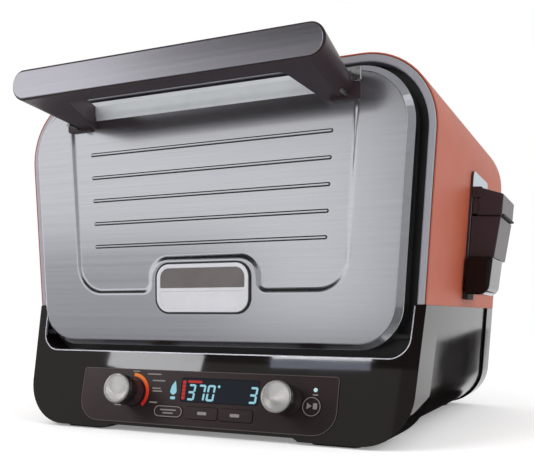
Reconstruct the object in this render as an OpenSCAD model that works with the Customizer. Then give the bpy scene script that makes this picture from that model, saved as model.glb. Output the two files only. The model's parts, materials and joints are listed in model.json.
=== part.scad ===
// Electric outdoor pizza oven with a drop-down front door, a leaning control
// fascia and a pellet smoke box on its right side. Millimetres, +Z up, front
// towards -Y. Modules are drawn with the rim's front face on y = 0, the middle
// of the body on x = 0 and the table on z = 0.

/* [Overall] */
// Height of the oven from the table to the top of its shell
oven_h = 383; // [370:1:400]
// Width of the shell across its top
shell_w = 494; // [480:1:530]
// Depth of the shell from the rim's face to its rear edge
body_d = 410; // [400:1:440]
// Inward lean of the sides, per mm of height
side_draft = 0.05; // [0.03:0.01:0.06]
// Radius of the top corners
corner_r = 76; // [70:1:82]
// Radius of the bottom corners
base_r = 51; // [45:1:55]
// Height of the seam between the shell and the base
seam_z = 139; // [136:1:144]
// Thickness of the shell's sheet
shell_t = 1.5; // [1:0.25:2]

/* [Front rim and door] */
// Width of the rim around the door opening
rim_w = 9.4; // [8:0.2:11]
// Depth of the rim from front to back
rim_d = 16; // [16:1:20]
// Gap between the rim and the door
door_gap = 9; // [7:0.5:10]
// Height of the door's lower edge above the table
door_z0 = 94.5; // [92:0.5:97]
// Room below the door that its lower edge swings through
door_sweep = 9; // [9:0.5:12]
// How far the door's face stands in front of the rim
door_proud = 19; // [17:0.5:20]
// Width and depth of the bevel around the door's face
door_bevel = 6.5; // [4:0.5:7]
// Radius of the door's lower corners
door_low_r = 44; // [40:1:48]
// Thickness of the door's outer skin
skin_t = 2.25; // [2:0.25:3]
// Depth of the pressed field in the door's face
field_sink = 1.75; // [1:0.25:1.75]
// Half width of the pressed field at its top
field_half = 172; // [165:1:176]
// Number of raised ribs in the field
rib_count = 5; // [3:1:6]
// Distance between two ribs
rib_pitch = 25.6; // [22:0.2:27]
// Half length of the top rib
rib_half = 145; // [120:1:150]
// Height of a rib
rib_h = 4; // [3:0.5:5]
// Width of the badge plate
badge_w = 111; // [90:1:120]
// Height of the badge plate
badge_h = 54; // [45:1:58]

/* [Handle] */
// Length of the handle's front plate
handle_w = 339; // [320:1:345]
// Height of the handle's front plate
handle_h = 26.6; // [24:0.2:30]
// Distance from the door's face to the front of the handle
handle_reach = 92; // [85:1:95]
// Depth of the handle's bar from front to back
handle_bar_d = 31; // [26:1:34]
// Width of each handle arm
handle_arm_w = 23; // [20:1:26]
// How far the arms drop between the bar and the door
handle_drop = 15; // [10:1:18]
// Thickness of the handle's steel plate
plate_t = 2; // [1:0.5:3]

/* [Fascia and base] */
// Forward lean of the control fascia, in degrees
fascia_lean = 13.5; // [12:0.5:15]
// Wall thickness of the fascia and the base mouldings
moulding_t = 2.5; // [2:0.25:3]
// How far the fascia's sides run back
fascia_return = 63; // [58:1:70]
// Height of the front foot pads
pad_h = 3; // [2:0.5:4]
// How far the fascia's middle is lifted between its feet
foot_lift = 3.5; // [2:0.5:5]
// Depth of the rear base cover
rear_cover_d = 47; // [40:1:55]

/* [Controls] */
// Half width of the control panel
panel_half = 155; // [150:1:160]
// Lower edge of the panel, up the fascia's slope
panel_v0 = 10; // [9:0.5:12]
// Height of the panel along the slope
panel_h = 60; // [58:1:61]
// Radius of a knob
knob_r = 16.5; // [15:0.5:18]
// How far a knob stands off the fascia
knob_len = 33; // [28:1:36]
// Radius of a knob's shaft
shaft_r = 3; // [2.5:0.25:3.5]
// Distance of the function knob left of the middle
knob_left = 86; // [82:1:90]
// Distance of the time knob right of the middle
knob_right = 102; // [98:1:104]
// Width of the display window
display_w = 93; // [80:1:95]
// Height of the display window
display_h = 26; // [22:1:27]
// Height of the push buttons
button_h = 13; // [11:0.5:13.5]
// Radius of the start button
start_r = 10; // [8:0.5:11]
// Travel of a push button
button_travel = 1.2; // [0.8:0.1:1.4]

/* [Cavity] */
// Inside width of the cooking cavity
cavity_w = 380; // [360:2:390]
// Inside height of the cooking cavity
cavity_h = 198; // [185:1:205]
// Height of the cavity's floor above the table
cavity_z = 120; // [118:1:124]
// Room between the cavity's rear wall and the shell's rear edge
rear_room = 44; // [42:1:48]
// Thickness of the cavity's sheet
liner_t = 1; // [0.8:0.1:1.5]
// Thickness of the insulation around the cavity
wool_t = 22; // [15:1:24]
// Width of the stone
stone_w = 330; // [300:2:340]
// Room between the stone and the fan's baffle
stone_gap = 6.5; // [5:0.5:20]
// Thickness of the stone
stone_t = 12; // [10:1:15]
// Radius of the heating rods
rod_r = 3.25; // [2.5:0.25:4]
// Radius of the convection fan
fan_r = 62; // [50:1:70]

/* [Smoke box] */
// Distance of the smoke box behind the rim's face
smoke_y = 180; // [170:1:195]
// Length of the smoke box from front to back
smoke_l = 92; // [80:1:105]
// How far the smoke box stands off the shell
smoke_reach = 37; // [34:1:44]
// Height of the hopper's floor above the table
hopper_z = 193; // [188:1:198]
// Height of the split between hopper and lid
lid_z = 244; // [236:1:248]
// Height of the lid at its hinge
lid_h = 33; // [28:1:38]

/* [Fits] */
// Gap of pieces that are fitted together
fit = 0.2; // [0.1:0.05:0.3]
// Gap of pieces that move past each other
slip = 0.3; // [0.2:0.05:0.4]
// Radial gap of a pin or shaft in its bore
run = 0.05; // [0.02:0.01:0.1]

/* [Hidden] */
$fn = 48;

// Colours
terracotta = [0.66, 0.31, 0.22];
steel = [0.68, 0.68, 0.71];
grey = [0.5, 0.5, 0.52];
gloss_black = [0.05, 0.05, 0.055];
soft_black = [0.12, 0.1, 0.1];
silver = [0.8, 0.8, 0.8];

// Outline of the body
arc_steps = 12;
lean = atan(side_draft);
slope_len = sqrt(1 + side_draft * side_draft);
far = 2 * (shell_w + body_d);
// How far a cut runs past the face that it opens
over = 1;

// Half width of the body at a height, moved in by an inset square to the side
function half_w(z, inset = 0) = shell_w / 2 - side_draft * (oven_h - z) - inset * slope_len;
function arc(c, r, a0, a1) =
    [for (i = [0 : arc_steps]) let (a = a0 + (a1 - a0) * i / arc_steps) c + r * [cos(a), sin(a)]];
function mirrored(p) = concat(p, [for (i = [len(p) - 1 : -1 : 0]) [-p[i].x, p[i].y]]);
function outline_pts(z0, z1, inset, r0, r1) =
    let (low = [half_w(z0 + r0, inset) - r0 * slope_len, z0 + r0])
    let (high = [half_w(z1 - r1, inset) - r1 * slope_len, z1 - r1])
    mirrored(concat(arc(low, r0, -90, -lean), arc(high, r1, -lean, 90)));
function rect_pts(x0, y0, x1, y1, r) = concat(
    arc([x1 - r, y0 + r], r, -90, 0), arc([x1 - r, y1 - r], r, 0, 90),
    arc([x0 + r, y1 - r], r, 90, 180), arc([x0 + r, y0 + r], r, 180, 270));
function stadium_pts(w, h) = concat(
    arc([(w - h) / 2, 0], h / 2, -90, 90), arc([(h - w) / 2, 0], h / 2, 90, 270));

module outline(z0, z1, inset, r0, r1) polygon(outline_pts(z0, z1, inset, r0, r1));
module rect(x0, y0, x1, y1, r) polygon(rect_pts(x0, y0, x1, y1, r));
module stadium(w, h) polygon(stadium_pts(w, h));
module above(z) intersection() { children(); translate([-far / 2, z]) square(far); }
module below(z) intersection() { children(); translate([-far / 2, z - far]) square(far); }
// A drawing in X and Z, given its depth from y0 to y1
module slab(y0, y1) translate([0, y1, 0]) rotate([90, 0, 0]) linear_extrude(y1 - y0) children();
// A drawing in Y and Z, given its width from x0 to x1
module side_slab(x0, x1)
    translate([x0, 0, 0]) rotate([90, 0, 90]) linear_extrude(x1 - x0) children();
module both_sides() { children(); mirror([1, 0, 0]) children(); }
module rod_x(x0, x1, r) translate([x0, 0, 0]) rotate([0, 90, 0]) cylinder(r = r, h = x1 - x0);
module rod_y(y0, y1, r) translate([0, y1, 0]) rotate([90, 0, 0]) cylinder(r = r, h = y1 - y0);

// Rim, opening and door
rim_in_r = corner_r - rim_w;
open_z = door_z0 - door_sweep;
open_r = 32;
frame_t = 2;
door_y = -door_proud;
door_inset = rim_w + door_gap;
door_rise = 2;
door_z1 = oven_h - door_inset + door_rise;
door_top_r = corner_r - door_inset;
tray_y = 5;
bevel_y = door_y + door_bevel;
inner_panel_t = 2;
inner_plug = 6;
hinge_y = 1.5;
hinge_up = 13.5;
hinge_z = door_z0 + hinge_up;
pin_r = 3;
lug_r = 5.5;
lug_x0 = half_w(hinge_z, rim_w - moulding_t) + slip;
lug_x1 = half_w(hinge_z, moulding_t) - slip;
block_x0 = 148;
block_x1 = 176;
block_foot = 1;
block_head = 5;
pin_in = 2;
pin_room = 1;

module opening_outline(grow = 0)
    outline(open_z - grow, oven_h - rim_w + grow, rim_w - grow, open_r + grow, rim_in_r + grow);
module door_outline(inset)
    outline(door_z0 + inset, door_z1 - inset, door_inset + inset,
        door_low_r - inset, door_top_r - inset);

// Field, ribs and badge on the door
field_up = 57.5;
field_down = 8;
field_z0 = door_z0 + field_up;
field_z1 = door_z1 - door_bevel - field_down;
field_r = 33;
field_margin = 3;
// The sides of the field follow the lean of the body from its top edge down
field_shift = side_draft * (oven_h - field_z1) / slope_len;
rib_down = 59;
rib_top_z = door_z1 - rib_down;
rib_rise = 1.5;
badge_up = 32;
badge_z = door_z0 + badge_up;
badge_r = 15;
badge_t = 2.5;
badge_margin = 9;

// Handle
bar_down = 5;
bar_z = door_z1 - bar_down;
bar_y = door_y - handle_reach;
body_lip = 2;
bracket_t = 1.5;
foot_h = 37;
foot_z = bar_z - handle_drop - foot_h / 2;
arm_x1 = handle_w / 2 + body_lip;
arm_x0 = arm_x1 - handle_arm_w;
bracket_lip = 3;
bracket_r = 4;
handle_fillet = 40;
handle_end_r = 13;
screw_r = 2;
screw_rows = [0.28, 0.66];
screw_len = 18;
screw_bore = 22;
screw_head_r = 3.8;
screw_head = 2;

// Fascia, base and feet
tan_lean = tan(fascia_lean);
function fascia_y(z) = -(seam_z - z) * tan_lean;
wall_y = moulding_t / cos(fascia_lean);
foot_x0 = 118;
foot_slope = 8;
base_inset = moulding_t + fit;
base_z = pad_h + foot_lift + moulding_t + fit;
frame_gap = 2;
base_y0 = rim_d + frame_t + frame_gap;
base_lap = 8;
cover_y0 = body_d - rear_cover_d;
tub_y1 = body_d - moulding_t - fit;
window_x = 140;
window_y0 = 70;
window_back = 25;
window_y1 = cover_y0 - window_back;
base_plate_t = 2.2;
plate_lip = 9;
rear_foot_x = 168;
rear_foot_r = 12;
rear_foot_in = 36;
rear_foot_y = body_d - rear_foot_in;
spacer_out = 10;
spacer_r = 11;
spacer_x = 150;
spacer_down = 70;
spacer_z = oven_h - spacer_down;
spacer_tail = 4;
panel_back = 8;
back_t = 2;
pad_in = 8;
pad_w = 52;
pad_l = 34;
pad_r = 8;
gland_x = 120;
gland_z = 70;
gland_r = 8;
gland_flange = 4;
gland_l = 8;
gland_tail = 6;
cord_r = 4.2;
vent_count = 9;
vent_pitch = 12;
vent_w = 220;
vent_h = 5;
vent_up = 60;
rear_screw_in = 22;
rear_screw_ups = [25, 115];
rear_screw_tail = 5;
base_screw_x = 112;
base_screw_tail = 2;
slot_count = 8;
slot_pitch = 20;
slot_l = 70;
slot_w = 5;
slot_y = 30;

// Controls, drawn on the fascia's plane: u to the right, v up the slope, w out of it
panel_lip_w = 1.2;
panel_plug = 4;
panel_edge = 3;
panel_low_r = 25;
panel_high_r = 4;
knob_v = 44;
cap_wall = 1;
knob_skirt_r = knob_r - cap_wall;
knob_gap = 1;
cap_lap = 8;
cap_t = 9;
cap_chamfer = 1.2;
bush_t = 1.6;
bush_r = shaft_r + bush_t;
switch_r = 10;
switch_floor = 2;
board_w = -18;
board_t = 1.6;
board_margin = 5;
board_edge = 6;
tact = 5;
post_r = 3;
post_u = 140;
post_v = panel_v0 + panel_h / 2 + 12;
window_t = 2;
window_proud = 0.2;
window_ledge = 3;
screen_gap = 1;
display_u = 22.5;
display_v = 49.5;
display_r = 3;
row_v = 25;
smoke_u = -37;
smoke_w = 36;
pair_u = 24.5;
pair_w = 80;
pair_gap = 2;
key_r = 3;
start_u = 128;
start_v = 39;
key_places = [[smoke_u, row_v], [pair_u - pair_w / 4, row_v], [pair_u + pair_w / 4, row_v],
    [start_u, start_v]];
led_u = 130.5;
led_v = 56;
led_r = 2;
led_proud = 0.4;
button_proud = 0.8;
flange_t = 1.7;
button_root = panel_plug + slip + flange_t;
flange = 0.7;
ring_gap = 1;
ring_w = 4;
ring_in = knob_r + ring_gap;
ring_out = ring_in + ring_w;
ring_t = 0.6;
ring_start = -45;
ring_sweep = 135;

module on_fascia() translate([0, fascia_y(0), 0]) rotate([90 - fascia_lean, 0, 0]) children();
module extrude_w(w0, w1) translate([0, 0, w0]) linear_extrude(w1 - w0) children();
module panel_shape(inset) {
    x = panel_half - inset;
    v0 = panel_v0 + inset;
    v1 = panel_v0 + panel_h - inset;
    low = panel_low_r - inset;
    high = panel_high_r - inset;
    polygon(mirrored(concat(arc([x - low, v0 + low], low, -90, 0),
        arc([x - high, v1 - high], high, 0, 90))));
}

// Cavity
liner_y0 = rim_d + frame_t;
liner_y1 = body_d - rear_room;
cavity_x = cavity_w / 2;
cavity_z1 = cavity_z + cavity_h;
cavity_r = 14;
seal_w = 8;
seal_gap = 2;
element_x = 45;
element_front = 45;
element_back = 60;
element_y0 = liner_y0 + element_front;
element_y1 = liner_y1 - element_back;
upper_down = 14;
lower_up = 9;
upper_z = cavity_z1 - upper_down;
lower_z = cavity_z + lower_up;
terminal_l = 12;
probe_x = 150;
probe_up = 40;
probe_r = 2.5;
probe_l = 24;
probe_tail = 10;
probe_nut = 4;
fan_up = 104;
fan_z = cavity_z + fan_up;
fan_room = 20;
fan_y0 = liner_y1 - fan_room;
fan_axle_r = 3;
fan_gap = 2;
fan_depth = 11;
fan_disc_t = 1.5;
fan_hub_r = 9;
fan_axle_in = 14;
blade_count = 8;
blade_t = 2;
blade_in_r = 28;
baffle_gap = 4;
baffle_t = 1.5;
baffle_side = 30;
baffle_end = 14;
baffle_r = 12;
baffle_w = 2 * (fan_r + baffle_side);
baffle_y0 = fan_y0 - baffle_gap - baffle_t;
baffle_post_r = 4;
hole_rows = 3;
hole_r = 3.5;
holes_in_row = 14;
motor_r = 30;
motor_y = liner_y1 + liner_t;
motor_l = 24;
motor_flange = 10;
motor_flange_t = 2.5;
frame_low = 11;
frame_low_r = 24;
frame_side = 0.5;
rail_up = 18;
rail_z = cavity_z + rail_up;
rail_end = 6;
rail_t = 4;
rail_w = 10;
rack_wire = 3;
rack_x = cavity_x - rail_w / 2;
rack_bars = 8;
rack_end = 4;
bar_thin = 0.5;
stone_front = 10;
stone_y0 = liner_y0 + stone_front;
stone_d = baffle_y0 - stone_gap - stone_y0;
stone_z = rail_z + rail_t + 2 * rack_wire;
stone_r = 20;
door_wool_side = 10;
door_wool_low = 16;
door_wool_high = 12;
door_wool_r = 10;
inner_low = 8;

// Smoke box, drawn on the right side: x out of the shell, y to the back, z up the side
plate_w = 3;
plate_margin = 6;
plate_below = 45;
plate_above = 21;
plate_r = 8;
plate_y0 = smoke_y - plate_margin;
plate_y1 = smoke_y + smoke_l + plate_margin;
plate_z0 = hopper_z - plate_below;
plate_z1 = lid_z + lid_h + plate_above;
smoke_t = 2.5;
smoke_base_h = 28;
smoke_base_front = 11;
smoke_base_back = 8;
smoke_base_r = 14;
smoke_base_in = 1;
vent_stub = [5, 25, 7];
vent_stub_y = 12;
vent_stub_up = 2;
knuckle_r = 6;
lid_axis_x = plate_w + slip + knuckle_r;
lid_axis_z = lid_z + lid_h - knuckle_r;
lid_fall = 8;
lid_pin_r = 2;
lid_slope = 2;
lip_reach = 3;
lip_h = 6;
lip_in = 8;
ear_t = 4;
ear_reach = 5;
rod_y_pos = smoke_y + smoke_l / 2;
igniter_up = 12;
rod_z = hopper_z + igniter_up;
igniter_r = 4;
igniter_room = 1;
igniter_gap = 2.1;
igniter_in = half_w(rod_z) - cavity_x - liner_t - igniter_gap;
igniter_out = 7.5;
basket_gap = 1;
basket_back = 3;
basket_t = 1;
basket_w = smoke_reach - plate_w - 2 * smoke_t - basket_back - basket_gap;
basket_l = smoke_l - 2 * smoke_t - 2 * basket_gap;
basket_h = lid_z - hopper_z - smoke_t - basket_gap;

module on_side() translate([half_w(0), 0, 0]) rotate([0, lean, 0]) children();

// The origin is the middle of the oven's outer box, on the table
lip_x = half_w(0) + (smoke_reach + slip + lip_reach) * cos(lean) + (lid_z + lip_h) * sin(lean);
shift = -[(lip_x - shell_w / 2) / 2, (bar_y + body_d + spacer_out) / 2, 0];
module place() translate(shift) children();

// Casing
module outer_shell()
    color(terracotta)
    difference() {
        slab(rim_d, body_d)
            difference() {
                above(seam_z) outline(0, oven_h, 0, base_r, corner_r);
                outline(-shell_t, oven_h - shell_t, shell_t, base_r, corner_r - shell_t);
            }
        igniter_hole(igniter_r + igniter_room);
    }

module igniter_hole(r) on_side() translate([0, rod_y_pos, rod_z]) rod_x(-igniter_in, plate_w, r);

module front_rim()
    color(grey)
    slab(0, rim_d)
        difference() {
            above(seam_z) outline(0, oven_h, 0, base_r, corner_r);
            opening_outline();
        }

module fascia_front_shape()
    difference() {
        below(seam_z) outline(pad_h, oven_h, 0, base_r, corner_r);
        polygon([[-foot_x0, pad_h - over], [foot_x0, pad_h - over],
            [foot_x0 - foot_slope, pad_h + foot_lift], [foot_slope - foot_x0, pad_h + foot_lift]]);
    }

// Everything behind the leaning front, moved back by a wall and cut at a depth
module behind_fascia(wall, depth)
    side_slab(-far / 2, far / 2)
        polygon([[wall + fascia_y(seam_z + over), seam_z + over],
            [depth + fascia_y(seam_z + over), seam_z + over],
            [depth + fascia_y(-over), -over], [wall + fascia_y(-over), -over]]);

module front_fascia()
    color(gloss_black)
    difference() {
        union() {
            difference() {
                intersection() {
                    slab(-far, far) fascia_front_shape();
                    behind_fascia(0, fascia_return);
                }
                intersection() {
                    slab(-far, far)
                        outline(base_z - fit, oven_h, moulding_t, base_r - moulding_t, corner_r);
                    behind_fascia(wall_y, far);
                }
            }
            intersection() {
                slab(-far, rim_d) below(seam_z) opening_outline(moulding_t);
                behind_fascia(0, far);
            }
        }
        slab(-far, far) opening_outline();
        on_fascia() extrude_w(-2 * moulding_t, moulding_t) panel_shape(panel_edge);
        both_sides() at_hinge() rod_x(0, lug_x0, pin_r + slip);
    }

module base_section(inset, z0, z1)
    below(z1) outline(z0, oven_h, inset, base_r - inset, corner_r);

module base_housing()
    color(gloss_black)
    difference() {
        slab(base_y0, tub_y1) base_section(base_inset, base_z, seam_z + base_lap);
        slab(base_y0 - over, tub_y1 + over)
            base_section(base_inset + moulding_t, base_z + moulding_t, oven_h);
        translate([-window_x, window_y0, 0]) cube([2 * window_x, window_y1 - window_y0, seam_z / 2]);
        base_screw_places() cylinder(r = screw_r + fit, h = seam_z / 2);
    }

module rear_base_cover()
    color(gloss_black)
    difference() {
        slab(cover_y0, body_d) base_section(0, base_z - moulding_t - fit, seam_z);
        slab(cover_y0 - over, body_d - moulding_t)
            base_section(moulding_t, base_z - fit, oven_h);
        translate([gland_x, body_d, gland_z]) rod_y(-2 * moulding_t, over, gland_r + fit);
    }

module cord_gland()
    color(soft_black)
    translate([gland_x, body_d, gland_z])
    difference() {
        union() {
            rod_y(0, gland_l, gland_r + gland_flange);
            rod_y(-moulding_t - gland_tail, 0, gland_r);
        }
        rod_y(-far, far, cord_r);
    }

module rear_panel()
    color(soft_black)
    difference() {
        slab(body_d - panel_back, body_d - panel_back + back_t) {
            above(seam_z + base_lap + fit)
                outline(0, oven_h - shell_t - fit, shell_t + fit, base_r, corner_r - shell_t - fit);
            above(seam_z + fit)
                base_section(base_inset + moulding_t + fit, base_z, seam_z + base_lap + 2 * fit);
        }
        for (i = [0 : vent_count - 1])
            translate([0, 0, seam_z + vent_up + i * vent_pitch])
                slab(body_d - far / 8, body_d) stadium(vent_w, vent_h);
        rear_screw_places() rod_y(-far / 8, far / 8, screw_r + fit);
        spacer_places() rod_y(-far / 8, far / 8, screw_r + fit);
    }

module spacer_places() for (s = [-1, 1]) translate([s * spacer_x, body_d, spacer_z]) children();
module rear_spacers()
    color(soft_black)
    spacer_places() {
        rod_y(back_t - panel_back, spacer_out, spacer_r);
        rod_y(-panel_back - spacer_tail, back_t - panel_back, screw_r);
    }

module rear_screw_places()
    for (s = [-1, 1], up = rear_screw_ups)
        translate([s * (half_w(seam_z + up) - rear_screw_in), body_d - panel_back, seam_z + up])
            children();
module base_screw_places()
    for (s = [-1, 1], y = [window_y0 - plate_lip / 2, window_y1 + plate_lip / 2])
        translate([s * base_screw_x, y, 0]) children();

module housing_screws()
    color(grey) {
        rear_screw_places() {
            rod_y(back_t, back_t + screw_head, screw_head_r);
            rod_y(-rear_screw_tail, back_t, screw_r);
        }
        base_screw_places() {
            translate([0, 0, base_z - base_plate_t - screw_head])
                cylinder(r = screw_head_r, h = screw_head);
            translate([0, 0, base_z - base_plate_t])
                cylinder(r = screw_r, h = base_plate_t + moulding_t + base_screw_tail);
        }
    }

module base_plate()
    color(grey)
    difference() {
        translate([-window_x - plate_lip, window_y0 - plate_lip, base_z - base_plate_t])
            cube([2 * (window_x + plate_lip), window_y1 - window_y0 + 2 * plate_lip, base_plate_t]);
        for (s = [-1, 1], i = [0 : slot_count - 1])
            translate([(s * window_x - slot_l) / 2, window_y0 + slot_y + i * slot_pitch, 0])
                cube([slot_l, slot_w, seam_z / 2]);
        base_screw_places() cylinder(r = screw_r + fit, h = seam_z / 2);
    }

module feet()
    color(soft_black) {
        both_sides()
            translate([foot_x0 + pad_in, fascia_y(0) + pad_in, 0])
                linear_extrude(pad_h) rect(0, 0, pad_w, pad_l, pad_r);
        both_sides()
            translate([rear_foot_x, rear_foot_y, 0])
                cylinder(r = rear_foot_r, h = base_z - moulding_t - fit);
    }

// Cooking cavity
module cavity_shape(grow)
    rect(-cavity_x - grow, cavity_z - grow, cavity_x + grow, cavity_z1 + grow, cavity_r + grow);

module cavity_front_frame()
    color(soft_black)
    slab(rim_d, rim_d + frame_t)
        difference() {
            outline(open_z - frame_low, oven_h - base_inset - frame_side, base_inset + frame_side,
                frame_low_r, corner_r - base_inset);
            cavity_shape(0);
        }

module terminal_places()
    for (s = [-1, 1], z = [upper_z, lower_z]) translate([s * 3 * element_x, 0, z]) children();

module cavity_liner()
    color(grey)
    difference() {
        slab(liner_y0, liner_y1 + liner_t) cavity_shape(liner_t);
        slab(liner_y0 - over, liner_y1) cavity_shape(0);
        translate([0, 0, fan_z]) rod_y(liner_y1 - over, body_d, 2 * fan_axle_r);
        terminal_places() rod_y(liner_y1 - over, body_d, rod_r + slip);
        translate([probe_x, 0, fan_z + probe_up]) rod_y(liner_y1 - over, body_d, probe_r + fit);
        translate([cavity_x - over, rod_y_pos, rod_z])
            rod_x(0, 2 * liner_t + over, igniter_r + 3 * igniter_room);
    }

// The room inside the shell and the base, which the wool is packed into
module casing_inside()
    intersection() {
        outline(0, oven_h - shell_t - slip, shell_t + slip, base_r, corner_r - shell_t - slip);
        base_section(base_inset + moulding_t + slip, base_z, oven_h);
    }

module insulation_blanket()
    color([0.85, 0.83, 0.76])
    difference() {
        slab(liner_y0 + slip, liner_y1)
            intersection() {
                above(cavity_z + cavity_r) cavity_shape(liner_t + slip + wool_t);
                casing_inside();
            }
        slab(liner_y0, liner_y1 + over) cavity_shape(liner_t + slip);
        igniter_hole(igniter_r + 2 * igniter_room);
    }

module fan_baffle()
    color(grey) {
        difference() {
            slab(baffle_y0, baffle_y0 + baffle_t)
                rect(-baffle_w / 2, fan_z - fan_r - baffle_end,
                    baffle_w / 2, fan_z + fan_r + baffle_end, baffle_r);
            for (k = [1 : hole_rows], i = [0 : holes_in_row - 1])
                rotate_y_about(fan_z, 360 * i / holes_in_row)
                    translate([0, 0, fan_z + (k + 1) * fan_r / (hole_rows + 2)])
                        rod_y(liner_y1 - far / 8, liner_y1, hole_r);
        }
        for (s = [-1, 1], t = [-1, 1])
            translate([s * (baffle_w / 2 - baffle_r), 0, fan_z + t * fan_r])
                rod_y(baffle_y0 + baffle_t, liner_y1, baffle_post_r);
    }
module rotate_y_about(z, a) translate([0, 0, z]) rotate([0, a, 0]) translate([0, 0, -z]) children();

module convection_fan()
    color(silver)
    translate([0, 0, fan_z]) {
        translate([0, fan_y0 + fan_gap + fan_depth, 0]) rod_y(0, fan_disc_t, fan_r - fan_gap);
        rod_y(fan_y0, motor_y + fan_axle_in, fan_axle_r);
        rod_y(fan_y0 + fan_gap, fan_y0 + fan_gap + fan_depth, fan_hub_r);
        for (i = [0 : blade_count - 1])
            rotate([0, 360 * i / blade_count, 0])
                translate([blade_in_r, fan_y0 + fan_gap, -blade_t / 2])
                    cube([fan_r - fan_gap - blade_in_r, fan_depth + fan_disc_t / 2, blade_t]);
    }
module fan_motor()
    color(grey)
    translate([0, 0, fan_z])
    difference() {
        union() {
            rod_y(motor_y, motor_y + motor_flange_t, motor_r + motor_flange);
            rod_y(motor_y, motor_y + motor_l, motor_r);
        }
        rod_y(motor_y - over, motor_y + fan_axle_in + over, fan_axle_r + run);
    }

// A heating rod in four runs, with its two ends through the rear wall
module heating_rod() {
    for (s = [-1, 1]) {
        translate([s * 3 * element_x, 0, 0]) rod_y(element_y0, motor_y + terminal_l, rod_r);
        translate([s * element_x, 0, 0]) rod_y(element_y0, element_y1, rod_r);
        translate([s * 2 * element_x, element_y0, 0]) rod_bend(180);
    }
    translate([0, element_y1, 0]) rod_bend(0);
}
module rod_bend(a)
    rotate([0, 0, a]) rotate_extrude(angle = 180) translate([element_x, 0]) circle(r = rod_r);
module upper_element() color(grey) translate([0, 0, upper_z]) heating_rod();
module lower_element() color(grey) translate([0, 0, lower_z]) heating_rod();

module temperature_probe()
    color(silver)
    translate([probe_x, 0, fan_z + probe_up]) {
        rod_y(liner_y1 - probe_l, motor_y + probe_tail, probe_r);
        rod_y(motor_y, motor_y + probe_nut, 2 * probe_r);
    }

module rack_rails()
    color(grey)
    both_sides()
        translate([cavity_x - rail_w, liner_y0 + rail_end, rail_z])
            cube([rail_w, liner_y1 - liner_y0 - 2 * rail_end, rail_t]);

module stone_rack()
    color(silver) {
        both_sides()
            translate([rack_x, 0, rail_z + rail_t + rack_wire])
                rod_y(stone_y0 - rack_end, stone_y0 + stone_d + rack_end, rack_wire);
        for (i = [0 : rack_bars - 1])
            translate([0, stone_y0 + stone_d * (i + 0.5) / rack_bars, rail_z + rail_t + rack_wire])
                rod_x(-rack_x, rack_x, rack_wire - bar_thin);
    }

module pizza_stone()
    color([0.72, 0.63, 0.5])
    translate([0, 0, stone_z])
        linear_extrude(stone_t) rect(-stone_w / 2, stone_y0, stone_w / 2, stone_y0 + stone_d, stone_r);

// Controls
module button_rect(u, w, grow)
    translate([u, row_v]) stadium(w + 2 * grow, button_h + 2 * grow);
module pair_rect(s, grow)
    translate([pair_u + s * (pair_w + pair_gap) / 4, row_v])
        rect(-(pair_w - pair_gap) / 4 - grow, -button_h / 2 - grow,
            (pair_w - pair_gap) / 4 + grow, button_h / 2 + grow, key_r + grow);
module display_rect(grow)
    translate([display_u, display_v])
        rect(-display_w / 2 - grow, -display_h / 2 - grow,
            display_w / 2 + grow, display_h / 2 + grow, display_r);
module button_shapes(grow) {
    button_rect(smoke_u, smoke_w, grow);
    for (s = [-1, 1]) pair_rect(s, grow);
    translate([start_u, start_v]) circle(r = start_r + grow);
}
module at_knobs() for (u = [-knob_left, knob_right]) translate([u, knob_v, 0]) children();

module control_panel()
    color(soft_black)
    on_fascia()
    difference() {
        union() {
            extrude_w(0, panel_lip_w) panel_shape(0);
            extrude_w(-panel_plug, 0) panel_shape(panel_edge + fit);
            for (s = [-1, 1])
                translate([s * post_u, post_v, board_w]) cylinder(r = post_r, h = -board_w);
        }
        extrude_w(-far, far) button_shapes(slip);
        extrude_w(panel_lip_w + window_proud - window_t, far) display_rect(fit);
        extrude_w(-far, far) display_rect(-window_ledge);
        at_knobs() cylinder(r = bush_r + fit, h = far, center = true);
        translate([led_u, led_v, 0]) cylinder(r = led_r + fit, h = far, center = true);
    }

module display_window()
    color([0.02, 0.03, 0.05])
    on_fascia()
        extrude_w(panel_lip_w + window_proud - window_t, panel_lip_w + window_proud) display_rect(0);

module control_board()
    color([0.1, 0.3, 0.2])
    on_fascia()
    union() {
        translate([-post_u - board_margin, panel_v0 + board_edge, board_w - board_t])
            cube([2 * (post_u + board_margin), panel_h - 2 * board_edge, board_t]);
        extrude_w(board_w, -panel_plug - slip) display_rect(-window_ledge - screen_gap);
        for (p = key_places)
            translate([p.x - tact / 2, p.y - tact / 2, board_w])
                cube([tact, tact, -board_w - button_root - button_travel - slip]);
        translate([led_u, led_v, board_w]) cylinder(r = led_r, h = -board_w - panel_plug);
    }

module switch_body()
    difference() {
        union() {
            translate([0, 0, board_w]) cylinder(r = switch_r, h = -board_w - panel_plug - fit);
            translate([0, 0, board_w]) cylinder(r = bush_r, h = -board_w + panel_lip_w);
        }
        translate([0, 0, board_w + switch_floor]) cylinder(r = shaft_r + run, h = far);
    }
module function_switch() color(grey) on_fascia() translate([-knob_left, knob_v, 0]) switch_body();
module time_encoder() color(grey) on_fascia() translate([knob_right, knob_v, 0]) switch_body();

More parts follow.
